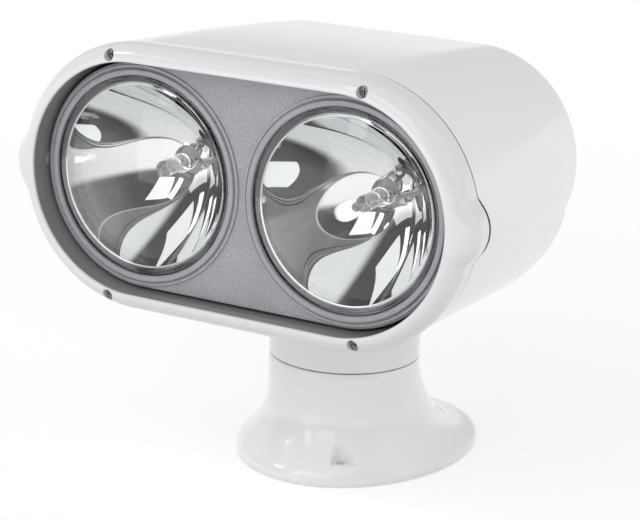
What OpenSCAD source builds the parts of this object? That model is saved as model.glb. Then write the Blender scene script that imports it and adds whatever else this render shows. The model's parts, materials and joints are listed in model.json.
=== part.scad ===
// Marine searchlight with two sealed-beam lamps side by side.
// The head pans on a deck foot and the lamp plate tilts inside the bezel.
// Millimetres. Origin on the pan axis at deck level, Z up, lamps facing -Y.

/* [Lamps] */
// Distance between the two lamp axes
lamp_spacing = 125; // [124:0.5:128]
// Space between the rims of the two lamps
lamp_gap = 12; // [11:0.5:14]
// Width of the lamp rim under the trim ring
rim_cover = 1.5; // [1.5:0.25:3]
// Rise of the domed lens over its rim
lens_rise = 11; // [8:0.5:12]
// Depth of the mirror behind the rim
mirror_depth = 45; // [40:1:48]
// Glass thickness
glass_t = 3; // [2.5:0.25:3.5]
// Thickness of the sealed rim
rim_t = 5; // [4.5:0.5:6]
// Radius of the quartz burner
burner_r = 6; // [5:0.5:7]
// Length of the quartz burner
burner_len = 26; // [22:1:28]

/* [Lamp carrier] */
// Lip of the bezel to the face of the lamp plate
face_back = 13; // [12.5:0.25:14]
// Gap between the lamp plate and the bezel opening
swing_gap = 1.5; // [1.2:0.1:1.8]
// Thickness of the lamp plate
plate_t = 3.5; // [3:0.25:4]
// Depth of the rim of the lamp carrier
skirt_depth = 10; // [9:0.5:12]
// Wall of the carrier rim and lamp cups
carrier_wall = 3; // [2.5:0.25:3.2]
// Height of the trim ring over the lamp plate
trim_h = 2; // [1.5:0.25:2.5]
// Lip of the bezel to the tilt axis
pivot_back = 16.5; // [16:0.25:17]
// Radius of the pivot pins
pin_r = 2.5; // [2:0.1:2.7]
// Outer radius of the pivot bushes
bush_r = 4.5; // [4.2:0.1:4.7]

/* [Head] */
// Height of the lamp axes above the deck
axis_h = 180; // [178:1:190]
// Pan axis to the front lip of the bezel
lip_reach = 131.5; // [129:0.5:134]
// Lamp rim to the end of the bezel opening
open_margin = 7.3; // [6.9:0.1:7.7]
// Width of the bezel from its opening to the seam
bezel_w = 8.7; // [8.2:0.1:9.7]
// Depth of the bezel from lip to seam
bezel_depth = 22; // [21.5:0.25:24]
// Height of the end bosses over the bezel
boss_h = 6; // [4:0.5:8]
// Radius of the end bosses
boss_r = 20; // [18:0.5:23]
// Wall of the head mouldings
wall = 3; // [2.5:0.25:3.5]
// Seam to the rear edge of the shell
shell_depth = 152.5; // [148:0.5:156]
// Loss of end radius from the seam to the rear
rear_taper = 9.5; // [6.5:0.5:11.5]
// Pull of the end arcs towards the middle at the rear
rear_pull = 6; // [4.5:0.5:8.5]
// Height of the chine under the lamp axis
chine_drop = 25; // [20:1:28]
// Depth of the keel under the lamp axis at the rear
keel_drop = 98; // [94:1:102]
// Rounding of the rear edge
rear_round = 7; // [5:0.5:10]
// Bulge of the upper sides between seam and rear
side_bulge = 0.48; // [0.2:0.02:0.6]
// Bulge of the underside between seam and rear
keel_bulge = 0.3; // [0:0.05:0.5]

/* [Foot] */
// Wall of the neck around the pan drive
neck_wall = 6; // [5.5:0.1:7]
// Height of the pan seam above the deck
pan_seam_h = 61; // [60:0.25:63]
// Half width of the oval flange
flange_a = 67; // [66:0.5:72]
// Half length of the oval flange
flange_b = 85; // [83:0.5:90]
// Offset of the oval flange behind the pan axis
flange_back = 20; // [18:0.5:22]
// Height where the neck starts to flare at the front
flare_h = 30; // [29:0.5:32]
// Extra height of the flare at the rear
flare_rise = 28; // [24:0.5:28.5]
// Height of the sweep between neck and flange at the front
sweep_h = 21.5; // [20.5:0.25:23]
// Fall of the sweep height from front to rear
sweep_fall = 8; // [6:0.5:9]
// Height of the flange at its front lip
shelf_h = 11; // [10.5:0.25:12]
// Fall of the lip height from front to rear
lip_fall = 6.5; // [5:0.25:7]
// Width of the rounding at the flange lip
lip_round = 5; // [4:0.25:6]
// Radius of the deck screw circle
deck_pcr = 56; // [55:0.25:57]
// Centre of the deck screw circle behind the pan axis
deck_back = 4; // [2:0.5:5]
// Turn of the deck screw circle from straight ahead
deck_turn = 27; // [24:1:30]
// Radius of the deck screw holes
deck_hole_r = 2.75; // [2.25:0.05:3.25]
// Radius of the screw pockets
pocket_r = 6.5; // [5.5:0.25:7]
// Height of the pocket floors
pocket_floor = 11; // [9:0.5:12]
// Thickness of the deck gasket
gasket_t = 1.5; // [1:0.25:2]
// Radius of the cable passage
cable_r = 4; // [3:0.25:5]

/* [Drives] */
// Module of all gears
gear_mod = 1.5; // [1.4:0.05:1.5]
// Teeth of the pan gear
pan_teeth = 22; // [20:1:22]
// Teeth of both pinions
pinion_teeth = 12; // [12:1:13]
// Teeth of the full circle of the tilt sector
sector_teeth = 112; // [108:1:112]
// Teeth on each side of the middle of the tilt sector
sector_side = 7; // [7:1:8]
// Face width of the gears
gear_w = 6; // [5:0.5:6]
// Play between meshing teeth
backlash = 0.3; // [0.25:0.05:0.4]
// Radius of the pan motor
pan_motor_r = 11.5; // [10:0.5:12]
// Radius of the tilt motor
tilt_motor_r = 14; // [12:0.5:15]
// Length of the tilt motor
tilt_motor_len = 42; // [36:1:46]
// Radius of the pan spindle
spindle_r = 12; // [11.5:0.1:12.5]
// Radial running clearance
run_fit = 0.05; // [0.03:0.01:0.08]

/* [Hidden] */
$fn = 64;
eps = 0.01;
edge = 0.6;
slip = 0.3;
touch = 0.1;
over = 1;
half = lamp_spacing / 2;
lamp_r = (lamp_spacing - lamp_gap) / 2;
clear_r = lamp_r - rim_cover;
open_r = lamp_r + open_margin;
seam_r = open_r + bezel_w;
white = [0.93, 0.93, 0.92];
silver = [0.62, 0.62, 0.65];
steel = [0.55, 0.56, 0.58];
dark = [0.12, 0.12, 0.13];
brassy = [0.78, 0.62, 0.3];
nylon = [0.85, 0.83, 0.76];
glass = [0.85, 0.9, 0.92, 0.4];

// carrier and lamp stations, measured back from the lip
carrier_r = open_r - swing_gap;
cup_play = 0.5;
septum = 1.5;
trim_lap = 0.2;
rim_w = 4.5;
cup_in = lamp_r + cup_play;
cup_out = min(cup_in + carrier_wall, half - septum);
trim_r = cup_out + trim_lap;
rim_front = face_back + trim_lap;
rim_back = rim_front + rim_t;
lamp_gasket_t = 1.3;
seat_front = rim_back + lamp_gasket_t;
seat_t = 2.5;
cup_back = seat_front + seat_t;
seat_in = lamp_r - rim_w;
mirror_r = seat_in - glass_t;
mirror_apex = rim_back + mirror_depth;
carrier_end = half + carrier_r;
pad_x = carrier_end + cup_play;
pad_half = 11;
pad_t = 3;
bush_len = 8;
pin_in = half + cup_in + touch;

// bezel and shell stations
lip_w = 1.5;
lip_top = 1.2;
crown_over = 1.1;
crown_r = seam_r + crown_over;
crown_y = 11;
bezel_back_r = seam_r + slip;
lip_wall = 2.6;
groove_cut = 1.5;
groove_in = open_r + lip_wall;
groove_out = bezel_back_r - wall;
groove_y = 6;
seam_t = 0.8;
shell_y = bezel_depth + seam_t;
rear_y = shell_y + shell_depth;
rear_r = seam_r - rear_taper;
rear_half = half - rear_pull;
keel_half = 20;
bilge_out = 19.5;
bilge_half = rear_half + bilge_out;
side_fall = 24;
upper_steps = 12;
lower_steps = 9;
ring_steps = 9;
round_steps = 4;
crown_steps = 8;
screw_in = 0.2;
screw_pos_r = (groove_in + groove_out) / 2 - screw_in;
screw_turn = 12;
recess_r = 3.2;
recess_y = 6.5;
head_r = 2.9;
head_h = 2.4;
shank_r = 1.6;
slot_len = 3.5;
slot_w = 0.8;
screw_len = 28;
post_r = 3.5;
post_len = 18;

// gear geometry
press_angle = 25;
mesh_gap = 0.1;
root_depth = 1.35;
flank_depth = 1.1;
pan_pitch = gear_mod * pan_teeth / 2;
pinion_pitch = gear_mod * pinion_teeth / 2;
sector_pitch = gear_mod * sector_teeth / 2;
pinion_y = pan_pitch + pinion_pitch + mesh_gap;
tilt_y = pivot_back + sector_pitch + pinion_pitch + mesh_gap;
pinion_tip = pinion_pitch + gear_mod;
flank_steps = 3;
shaft_r = 3;
shaft_in = 10;
spigot_r = 2 * shaft_r;

// neck and spindle stations, measured up from the deck
tip_room = 1.9;
motor_room = 0.9;
bore_r = pinion_y + max(pinion_tip + tip_room, pan_motor_r + motor_room);
neck_r = bore_r + neck_wall;
recess_step = 1.5;
recess_top_r = bore_r - recess_step;
pan_gap = 0.6;
foot_top = pan_seam_h - pan_gap / 2;
collar_z = pan_seam_h + pan_gap / 2;
web_t = 5;
collar_wall = 3.5;
flange_t = 6.2;
flange_z = collar_z - flange_t;
flange_play = 3.8;
flange_r = recess_top_r - flange_play;
bush_flange_t = 3;
bush_z = flange_z - touch - bush_flange_t;
web_h = 10;
web_z = bush_z - web_h;
bush_wall = 4;
bush_out = spindle_r + bush_wall;
bush_flange_w = 6;
bush_flange_r = bush_out + bush_flange_w;
seal_step = 0.5;
seal_w = 3;
seal_in = bore_r + seal_step;
seal_out = seal_in + seal_w;
seal_depth = 2.5;
spindle_bore = 7;
spindle_step = 2;
step_r = spindle_r - spindle_step;
hub_h = 1.9;
hub_r = step_r + bush_wall;
gear_z = web_z - touch - hub_h - gear_w;
clip_t = 1.6;
clip_bite = 1.2;
clip_z = gear_z - clip_t;
clip_groove = step_r - clip_bite;
clip_r = step_r + 3;
clip_gap = 5;
spindle_low = clip_z - spindle_step;
spindle_screw_in = 6.7;
spindle_screws_r = flange_r - spindle_screw_in;
tab_w = 4;
tab_r = recess_top_r - slip - touch;
tab_h = 4.8;
stop_r = 1.5;
stop_y = recess_top_r - stop_r - touch;
stop_top = flange_z + tab_h - over;

// foot stations
cover_t = 3;
cover_z = gasket_t + cover_t;
cover_lap = 1;
cover_r = neck_r + cover_lap;
motor_plate_t = 2;
motor_plate_w = 10;
motor_top = gear_z - motor_plate_t;
motor_low = cover_z + cup_play;
motor_post_r = 3.5;
small_head_r = 2.4;
small_head_h = 1.5;
small_shank_r = 1.5;
small_len = 7;
motor_screw_x = pan_motor_r + 5;
cover_screw_in = 3.5;
cover_screw_r = cover_r - cover_screw_in;
grommet_y = -14;
grommet_wall = 3;
grommet_r = cable_r + grommet_wall;
grommet_lip = 2;
grommet_low = 1.1;
gasket_inset = 4;
foot_sides = 64;
flare_steps = 8;
lip_steps = 5;
sweep_share = 0.2;
lip_low = 2.4;
rear_reach = flange_b + flange_back - neck_r;

// tilt drive stations
sector_t = gear_w;
sector_band = 8;
foot_z = 38;
sector_foot_h = 14;
sector_foot_w = 20;
sector_foot_t = 3;
sector_screw_x = 6.5;
arm_w = 9;
sector_span = (sector_side + 1 / 2) * 360 / sector_teeth;
sector_in = sector_pitch - root_depth * gear_mod - sector_band;
arm_spread = 3.5;
arm_turn = sector_span - arm_spread;
bracket_gap = 2;
bracket_x = sector_t / 2 + bracket_gap;
bracket_t = 3;
bracket_h = 34;
bracket_foot = 24;
rear_in = rear_y + rear_round - wall;
bracket_post_h = 2.5;
bracket_back = rear_in - bracket_post_h;
bracket_post_r = 5;
tilt_box_len = 12;
can_step = 1.5;
motor_screw_in = 4;

// Shared helpers

// from the lip plane and lamp axis to the deck frame
module head() {
  translate([0, -lip_reach, axis_h]) children();
}

// local x runs back, local y up, local z across the head
module across() {
  rotate([90, 0, 90]) children();
}

// turned about a line that runs from front to back
module turned() {
  rotate([-90, 0, 0]) rotate_extrude() children();
}

module tube(ro, ri, h) {
  difference() {
    cylinder(r = ro, h = h);
    translate([0, 0, -eps]) cylinder(r = ri, h = h + 2 * eps);
  }
}

// a profile of radius and depth carried round a stadium of half length s
module stadium(pts, s) {
  for (side = [-1, 1])
    translate([side * s, 0, 0])
      rotate([-90, 0, 0])
        rotate([0, 0, -90 * side])
          rotate_extrude(angle = 180) polygon(pts);
  for (turn = [0, 180])
    rotate([0, turn, 0])
      rotate([0, -90, 0])
        linear_extrude(height = 2 * s, center = true) polygon(pts);
}

// solid stadium block of end radius r between two depths
module stadium_block(r, s, y0, y1) {
  stadium([[0, y0], [r, y0], [r, y1], [0, y1]], s);
}

function arc(c, r, a0, a1, n) =
  [for (i = [0:n]) let (a = a0 + (a1 - a0) * i / n) c + r * [cos(a), sin(a)]];

function bezier(a, b, c, n) =
  [for (i = [0:n]) let (t = i / n) (1 - t) * (1 - t) * a + 2 * t * (1 - t) * b + t * t * c];

function cubic(a, b, c, d, n) =
  [for (i = [0:n]) let (t = i / n, u = 1 - t)
    u * u * u * a + 3 * u * u * t * b + 3 * u * t * t * c + t * t * t * d];

// involute gear outline
function involute(a) = tan(a) - a * PI / 180;
function half_tooth(teeth, r) =
  let (
    pitch = gear_mod * teeth / 2,
    base = pitch * cos(press_angle),
    at = acos(min(1, base / r)),
    thick = (PI * gear_mod / 2 - backlash) / (2 * pitch)
  ) (thick + involute(press_angle) - involute(at)) * 180 / PI;
function tooth(teeth, turn) =
  let (
    pitch = gear_mod * teeth / 2,
    tip = pitch + gear_mod,
    low = max(pitch * cos(press_angle), pitch - flank_depth * gear_mod),
    root = pitch - root_depth * gear_mod,
    rs = [for (i = [0:flank_steps]) low + (tip - low) * i / flank_steps]
  ) concat(
    [root * dir(turn - half_tooth(teeth, low))],
    [for (r = rs) r * dir(turn - half_tooth(teeth, r))],
    [for (i = [flank_steps:-1:0]) rs[i] * dir(turn + half_tooth(teeth, rs[i]))],
    [root * dir(turn + half_tooth(teeth, low))]
  );
function dir(a) = [cos(a), sin(a)];
function gear_outline(teeth, turn) =
  [for (k = [0:teeth - 1]) each tooth(teeth, turn + k * 360 / teeth)];

// closed solid through rings of equal count, flat at both ends
module skin(rings) {
  n = len(rings[0]);
  m = len(rings);
  polyhedron(
    points = [for (r = rings) each r],
    faces = concat(
      [[for (i = [0:n - 1]) i]],
      [for (j = [0:m - 2], i = [0:n - 1]) let (k = (i + 1) % n)
        [j * n + i, (j + 1) * n + i, (j + 1) * n + k]],
      [for (j = [0:m - 2], i = [0:n - 1]) let (k = (i + 1) % n)
        [j * n + i, (j + 1) * n + k, j * n + k]],
      [[for (i = [n - 1:-1:0]) (m - 1) * n + i]]
    )
  );
}

// a plain screw along +Z: round head under a shank, head top at the origin
module screw(hr, hh, sr, len) {
  cylinder(r = hr, h = hh);
  translate([0, 0, hh]) cylinder(r = sr, h = len);
}

// Head shell

// right half of a ring: arc above the chine, curve from the chine to the keel
function upper(s, r, z) = arc([s, 0], r, 90, asin(z / r), upper_steps);
function seam_half(inset) =
  let (r = seam_r - inset, low = arc([half, 0], r, asin(-chine_drop / r), -90, lower_steps))
  concat(upper(half, r, -chine_drop), [for (i = [1:lower_steps]) low[i]]);
function rear_low(inset) =
  let (
    r = rear_r - inset,
    u = upper(rear_half, r, -chine_drop),
    end = u[upper_steps],
    side = end - [0, side_fall],
    bilge = [bilge_half - inset / 2, -keel_drop + inset],
    keel = [keel_half, -keel_drop + inset],
    low = cubic(end, side, bilge, keel, lower_steps)
  ) concat(u, [for (i = [1:lower_steps]) low[i]]);
function shell_half(t, inset) =
  let (
    a = seam_half(inset),
    b = rear_low(inset),
    up = t + side_bulge * t * (t - 1),
    low = t + keel_bulge * t * (t - 1)
  ) [for (i = [0:len(a) - 1])
    let (f = max(0, i - upper_steps) / lower_steps, w = (1 - f) * up + f * low)
    (1 - w) * a[i] + w * b[i]];
function shell_ring(t, inset, y) =
  let (h = shell_half(t, inset), n = len(h) - 1)
  concat(
    [for (p = h) [p[0], y, p[1]]],
    [for (i = [n:-1:0]) [-h[i][0], y, h[i][1]]]
  );
function shell_rings(inset, front) =
  let (q = rear_round - inset)
  concat(
    [shell_ring(0, inset, front)],
    [for (i = [1:ring_steps]) shell_ring(i / ring_steps, inset, shell_y + shell_depth * i / ring_steps)],
    [for (i = [1:round_steps]) let (a = 90 * i / round_steps)
      shell_ring(1, inset + q * (1 - cos(a)), rear_y + q * sin(a))]
  );

// the four bezel screw places, children drawn along +Y from the lip plane
module at_bezel_screws() {
  for (sx = [-1, 1], sz = [-1, 1])
    translate([
      sx * (half + screw_pos_r * sin(screw_turn)), 0, sz * screw_pos_r * cos(screw_turn)
    ]) rotate([-90, 0, 0]) children();
}

module at_bracket_screws() {
  for (sz = [-1, 1])
    translate([bracket_x + bracket_foot / 2 + bracket_t / 2, bracket_back, sz * bracket_h / 4])
      rotate([-90, 0, 0]) children();
}

module at_spindle_screws() {
  for (k = [0:3])
    rotate([0, 0, 45 + 90 * k]) translate([spindle_screws_r, 0, 0]) children();
}

module head_shell() {
  color(white) difference() {
    union() {
      difference() {
        union() {
          head() skin(shell_rings(0, shell_y));
          translate([0, 0, collar_z]) cylinder(r1 = neck_r - edge, r2 = neck_r, h = edge);
          translate([0, 0, collar_z + edge])
            cylinder(r = neck_r, h = axis_h - collar_z - edge - seam_r);
        }
        head() skin(shell_rings(wall, shell_y - eps));
        translate([0, 0, collar_z + web_t])
          cylinder(r = neck_r - collar_wall, h = axis_h - collar_z - seam_r);
      }
      head() at_bezel_screws() translate([0, 0, shell_y]) cylinder(r = post_r, h = post_len);
      head() at_bracket_screws() cylinder(r = bracket_post_r, h = rear_in - bracket_back + wall / 2);
    }
    head() at_bezel_screws() translate([0, 0, shell_y - eps]) cylinder(r = shank_r, h = post_len - wall);
    head() at_bracket_screws() translate([0, 0, -eps]) cylinder(r = shank_r, h = rear_in - bracket_back);
    translate([0, 0, collar_z - eps]) cylinder(r = spindle_bore, h = web_t + 2 * eps);
    translate([0, 0, collar_z - eps]) at_spindle_screws() cylinder(r = shank_r, h = web_t + 2 * eps);
  }
}

// Bezel

function crown(r_in, r_out) =
  [for (i = [0:crown_steps]) let (a = 90 * i / crown_steps) [r_in + (r_out - r_in) * sin(a), crown_y * (1 - cos(a))]];
bezel_profile = concat(
  [[open_r, bezel_depth], [open_r, lip_w], [open_r + lip_top / 3, lip_w / 3]],
  crown(open_r + lip_top, crown_r),
  [
    [bezel_back_r, bezel_depth], [groove_out, bezel_depth], [groove_out, groove_y + groove_cut],
    [groove_out - groove_cut, groove_y], [groove_in, groove_y], [groove_in, bezel_depth]
  ]
);

module front_bezel() {
  boss_x = half + crown_r + boss_h - boss_r;
  color(white) head() difference() {
    union() {
      difference() {
        union() {
          stadium(bezel_profile, half);
          for (side = [-1, 1])
            translate([side * boss_x, 0, 0])
              turned() polygon(concat(
                [[0, bezel_depth], [0, 0]],
                crown(boss_r - crown_r + open_r + lip_top, boss_r),
                [[boss_r - crown_r + bezel_back_r, bezel_depth]]
              ));
          at_bezel_screws() translate([0, 0, recess_y / 2])
            cylinder(r = post_r, h = bezel_depth - recess_y / 2);
        }
        stadium_block(open_r, half, -over, bezel_depth + over);
      }
      for (side = [-1, 1])
        translate([side * (pad_x + pad_t / 2), bezel_depth / 2 + lip_w / 2, 0])
          cube([pad_t, bezel_depth - lip_w, 2 * pad_half], center = true);
    }
    at_bezel_screws() translate([0, 0, -eps]) cylinder(r = recess_r, h = recess_y + eps);
    at_bezel_screws() cylinder(r = shank_r, h = bezel_depth + over);
    for (side = [0, 180])
      rotate([0, side, 0]) translate([pad_x - over, pivot_back, 0])
        rotate([0, 90, 0]) cylinder(r = bush_r, h = bush_len + over);
  }
}

module bezel_gasket() {
  color(dark) head() stadium([
    [groove_out + touch, bezel_depth], [seam_r - slip, bezel_depth],
    [seam_r - slip, shell_y], [groove_out + touch, shell_y]
  ], half);
}

module bezel_screws() {
  color(steel) head() at_bezel_screws() translate([0, 0, recess_y - head_h]) difference() {
    screw(head_r, head_h, shank_r, screw_len);
    for (turn = [0, 90])
      rotate([0, 0, turn]) cube([slot_len, slot_w, head_h], center = true);
  }
}

module pivot_bushes() {
  color(nylon) head() for (side = [0, 180])
    rotate([0, side, 0]) translate([pad_x, pivot_back, 0])
      rotate([0, 90, 0]) tube(bush_r, pin_r + run_fit, bush_len);
}

// Lamp carrier and lamps

module lamp_carrier() {
  color(silver) head() difference() {
    union() {
      stadium([
        [0, face_back], [carrier_r - edge, face_back], [carrier_r, face_back + edge],
        [carrier_r, face_back + skirt_depth], [carrier_r - carrier_wall, face_back + skirt_depth],
        [carrier_r - carrier_wall, face_back + plate_t], [0, face_back + plate_t]
      ], half);
      at_lamps() translate([0, 0, face_back + plate_t / 2])
        cylinder(r = cup_out, h = cup_back - face_back - plate_t / 2);
    }
    at_lamps() translate([0, 0, face_back - eps])
      cylinder(r = cup_in, h = seat_front - face_back + eps);
    at_lamps() translate([0, 0, seat_front - eps])
      cylinder(r = seat_in, h = cup_back - seat_front + 2 * eps);
    for (side = [0, 180])
      rotate([0, side, 0]) translate([half + cup_in - over, pivot_back, 0])
        rotate([0, 90, 0]) cylinder(r = pin_r, h = carrier_r);
    at_sector_screws() translate([0, 0, -sector_foot_t - plate_t + edge])
      cylinder(r = small_shank_r, h = plate_t);
  }
}

// both lamp axes, children drawn along +Y from the lip plane
module at_lamps() {
  for (side = [-1, 1]) at_lamp(side) children();
}

module at_lamp(side) {
  translate([side * half, 0, 0]) rotate([-90, 0, 0]) children();
}

module pivot_pins() {
  color(steel) head() for (side = [0, 180])
    rotate([0, side, 0]) translate([pin_in, pivot_back, 0])
      rotate([0, 90, 0]) cylinder(r = pin_r, h = pad_x + bush_len - pin_in - slip);
}

// flat ring with a sloped inner edge and a bead outside
trim_bead = 1;

module trim_ring(side) {
  color(silver) head() at_lamp(side) rotate_extrude() polygon([
    [clear_r, rim_front - touch], [clear_r + trim_bead, face_back - trim_h],
    [trim_r - trim_bead, face_back - trim_h], [trim_r, face_back - trim_h + trim_bead],
    [trim_r, face_back], [cup_in - touch, face_back], [cup_in - touch, rim_front - touch]
  ]);
}

module trim_ring_left() {
  trim_ring(-1);
}

module trim_ring_right() {
  trim_ring(1);
}

module lamp_gaskets() {
  color(dark) head() at_lamps() translate([0, 0, rim_back])
    tube(lamp_r, seat_in + 1, lamp_gasket_t);
}

// domed front glass with a flat rim
lens_steps = 10;
lens_thin = 1;
rim_mid = rim_front + rim_t / 2;
function dome(r, rise, y) =
  let (ball = (r * r + rise * rise) / (2 * rise), a1 = asin(r / ball))
  [for (i = [0:lens_steps]) let (a = a1 * i / lens_steps) [ball * sin(a), y - rise + ball * (1 - cos(a))]];

module lens(side) {
  outer = dome(clear_r, lens_rise, rim_front);
  inner = dome(mirror_r, lens_rise - lens_thin, rim_front + glass_t - lens_thin);
  color(glass) head() at_lamp(side) rotate_extrude() polygon(concat(
    outer,
    [[lamp_r, rim_front], [lamp_r, rim_mid], [mirror_r, rim_mid]],
    [for (i = [lens_steps:-1:0]) inner[i]]
  ));
}

module lens_left() {
  lens(-1);
}

module lens_right() {
  lens(1);
}

// parabolic bowl behind the rim, open at the burner seat
mirror_steps = 10;
burner_seat = 9;
stem_len = 6;
stem_back = mirror_apex + stem_len;
function bowl(r, y, deep) =
  [for (i = [0:mirror_steps]) let (q = burner_seat + (r - burner_seat) * i / mirror_steps)
    [q, y + deep * (1 - q * q / (r * r))]];

module mirror_bowl(side) {
  inner = bowl(mirror_r, rim_mid, mirror_depth);
  outer = bowl(mirror_r + glass_t, rim_back, mirror_depth);
  color(silver) head() at_lamp(side) rotate_extrude() polygon(concat(
    [for (p = inner) p],
    [[lamp_r, rim_mid], [lamp_r, rim_back]],
    [for (i = [mirror_steps:-1:1]) outer[i]],
    [
      [burner_seat + glass_t, stem_back], [0, stem_back],
      [0, stem_back - glass_t], [burner_seat, stem_back - glass_t]
    ]
  ));
}

module mirror_left() {
  mirror_bowl(-1);
}

module mirror_right() {
  mirror_bowl(1);
}

// quartz burner on the lamp axis: round nose, body and flat pinch
burner_back = mirror_apex + over;
pinch_h = 9;
pinch_w = 10;
pinch_t = 3.5;

module burner(side) {
  nose = burner_back - pinch_h - burner_len + burner_r;
  color(glass) head() at_lamp(side) {
    translate([0, 0, nose]) cylinder(r = burner_r, h = burner_len - burner_r);
    translate([0, 0, nose]) sphere(r = burner_r - eps);
    translate([-pinch_w / 2, -pinch_t / 2, burner_back - pinch_h - over])
      cube([pinch_w, pinch_t, pinch_h + over]);
  }
}

module burner_left() {
  burner(-1);
}

module burner_right() {
  burner(1);
}

// ceramic seat and two support posts behind each burner
support_r = 1.2;
support_x = 7;

module burner_supports() {
  color(nylon) head() at_lamps() {
    translate([0, 0, burner_back]) cylinder(r = burner_seat - slip, h = stem_back - glass_t - burner_back);
    for (sx = [-1, 1])
      translate([sx * support_x, 0, burner_back - pinch_h])
        cylinder(r = support_r, h = pinch_h + over);
  }
}

// two screw terminals at the back of each lamp
terminal_x = 5;
terminal_r = 3;
terminal_h = 7;

module lamp_terminals() {
  color(brassy) head() at_lamps() for (sx = [-1, 1])
    translate([sx * terminal_x, 0, stem_back]) {
      cylinder(r = terminal_r, h = terminal_h / 3);
      translate([0, 0, terminal_h / 3 - eps]) cylinder(r = terminal_r / 2, h = terminal_h * 2 / 3);
    }
}

// Tilt drive

// the sector's foot screws, children drawn along +Y from the foot's back
module at_sector_screws() {
  for (sx = [-1, 1], sz = [-1, 1])
    translate([sx * sector_screw_x, face_back + plate_t + sector_foot_t, sz * foot_z])
      rotate([-90, 0, 0]) children();
}

module tilt_sector() {
  from = face_back + plate_t - pivot_back;
  mid = sector_in + sector_band / 2;
  color(nylon) head() difference() {
    union() {
      translate([-sector_t / 2, pivot_back, 0]) across() linear_extrude(height = sector_t) {
        polygon(concat(
          [for (k = [-sector_side:sector_side]) each tooth(sector_teeth, k * 360 / sector_teeth)],
          arc([0, 0], sector_in, sector_span, -sector_span, 2 * sector_side)
        ));
        for (sz = [-1, 1])
          polygon([
            [from + over, sz * (foot_z - arm_w / 2)], [from + over, sz * (foot_z + arm_w / 2)],
            mid * [cos(arm_turn + arm_spread), sz * sin(arm_turn + arm_spread)],
            mid * [cos(arm_turn - arm_spread), sz * sin(arm_turn - arm_spread)]
          ]);
      }
      for (sz = [-1, 1])
        translate([-sector_foot_w / 2, face_back + plate_t, sz * foot_z - sector_foot_h / 2])
          cube([sector_foot_w, sector_foot_t, sector_foot_h]);
    }
    at_sector_screws() translate([0, 0, -sector_foot_t - eps])
      cylinder(r = small_shank_r, h = sector_foot_t + 2 * eps);
  }
}

module sector_screws() {
  color(steel) head() at_sector_screws() translate([0, 0, small_head_h]) mirror([0, 0, 1])
    screw(small_head_r, small_head_h, small_shank_r, sector_foot_t + plate_t - over);
}

// along the tilt motor's axis, children drawn across the head
module at_tilt_motor() {
  translate([0, tilt_y, 0]) across() children();
}

module tilt_pinion() {
  color(brassy) head() at_tilt_motor() {
    translate([0, 0, -gear_w / 2]) linear_extrude(height = gear_w)
      polygon(gear_outline(pinion_teeth, 180 + 180 / pinion_teeth));
    translate([0, 0, gear_w / 2 - eps])
      cylinder(r = shaft_r, h = bracket_x + bracket_t + shaft_in - gear_w / 2);
  }
}

module at_tilt_motor_screws() {
  for (sz = [-1, 1])
    translate([0, sz * (tilt_motor_r - motor_screw_in), bracket_x]) children();
}

module tilt_motor() {
  color(steel) head() at_tilt_motor() difference() {
    union() {
      translate([0, 0, bracket_x + bracket_t]) cylinder(r = tilt_motor_r, h = tilt_box_len);
      translate([0, 0, bracket_x + bracket_t + tilt_box_len - eps])
        cylinder(r = tilt_motor_r - can_step, h = tilt_motor_len - tilt_box_len);
      translate([0, 0, bracket_x + touch]) cylinder(r = spigot_r, h = bracket_t);
    }
    translate([0, 0, bracket_x]) cylinder(r = shaft_r + run_fit, h = bracket_t + shaft_in + slip);
    at_tilt_motor_screws() cylinder(r = small_shank_r, h = bracket_t + small_len);
  }
}

module tilt_motor_screws() {
  color(steel) head() at_tilt_motor() at_tilt_motor_screws() translate([0, 0, -small_head_h])
    screw(small_head_r, small_head_h, small_shank_r, small_len);
}

module tilt_bracket() {
  front = tilt_y - tilt_motor_r - bracket_gap;
  color(steel) head() difference() {
    union() {
      translate([bracket_x, front, -bracket_h / 2])
        cube([bracket_t, bracket_back - front, bracket_h]);
      translate([bracket_x, bracket_back - bracket_t, -bracket_h / 2])
        cube([bracket_t + bracket_foot, bracket_t, bracket_h]);
    }
    at_tilt_motor() cylinder(r = spigot_r, h = bracket_x + 2 * bracket_t);
    at_tilt_motor() at_tilt_motor_screws() translate([0, 0, -eps])
      cylinder(r = small_shank_r, h = bracket_t + 2 * eps);
    at_bracket_screws() translate([0, 0, -bracket_t - eps])
      cylinder(r = shank_r, h = bracket_t + 2 * eps);
  }
}

module bracket_screws() {
  color(steel) head() at_bracket_screws() translate([0, 0, -bracket_t - head_h])
    screw(head_r, head_h, shank_r, bracket_t + (rear_in - bracket_back) / 2);
}

// Foot

function flange_point(turn, inset) =
  [(flange_a - inset) * cos(turn), flange_back + (flange_b - inset) * sin(turn)];
function foot_reach(turn) = norm(flange_point(turn, 0) - neck_r * dir(turn));
near_reach = min([for (i = [0:foot_sides - 1]) foot_reach(360 * i / foot_sides)]);

// the flare starts higher and the lip gets thinner from front to rear
function foot_profile(reach) =
  let (
    far = (reach - near_reach) / (rear_reach - near_reach),
    lean = far * (2 - far),
    start = [0, flare_h + flare_rise * lean],
    sweep = [sweep_share * reach, sweep_h - sweep_fall * lean],
    shelf = [reach - lip_round, shelf_h - lip_fall * lean],
    fall = (sweep - shelf)[1] / (shelf - sweep)[0],
    corner = [reach, max(lip_low, shelf[1] - fall * lip_round)],
    flare = bezier(start, sweep, shelf, flare_steps),
    lip = bezier(shelf, corner, [reach, lip_low], lip_steps)
  ) concat(
    [[-edge, foot_top], [0, foot_top - edge]],
    flare,
    [for (i = [1:lip_steps]) lip[i]],
    [[reach - 3 * edge, gasket_t]]
  );
function foot_line(turn) =
  let (
    p = neck_r * dir(turn),
    q = flange_point(turn, 0),
    reach = foot_reach(turn),
    u = (q - p) / reach
  ) [for (s = foot_profile(reach)) [p[0] + s[0] * u[0], p[1] + s[0] * u[1], s[1]]];

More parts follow.
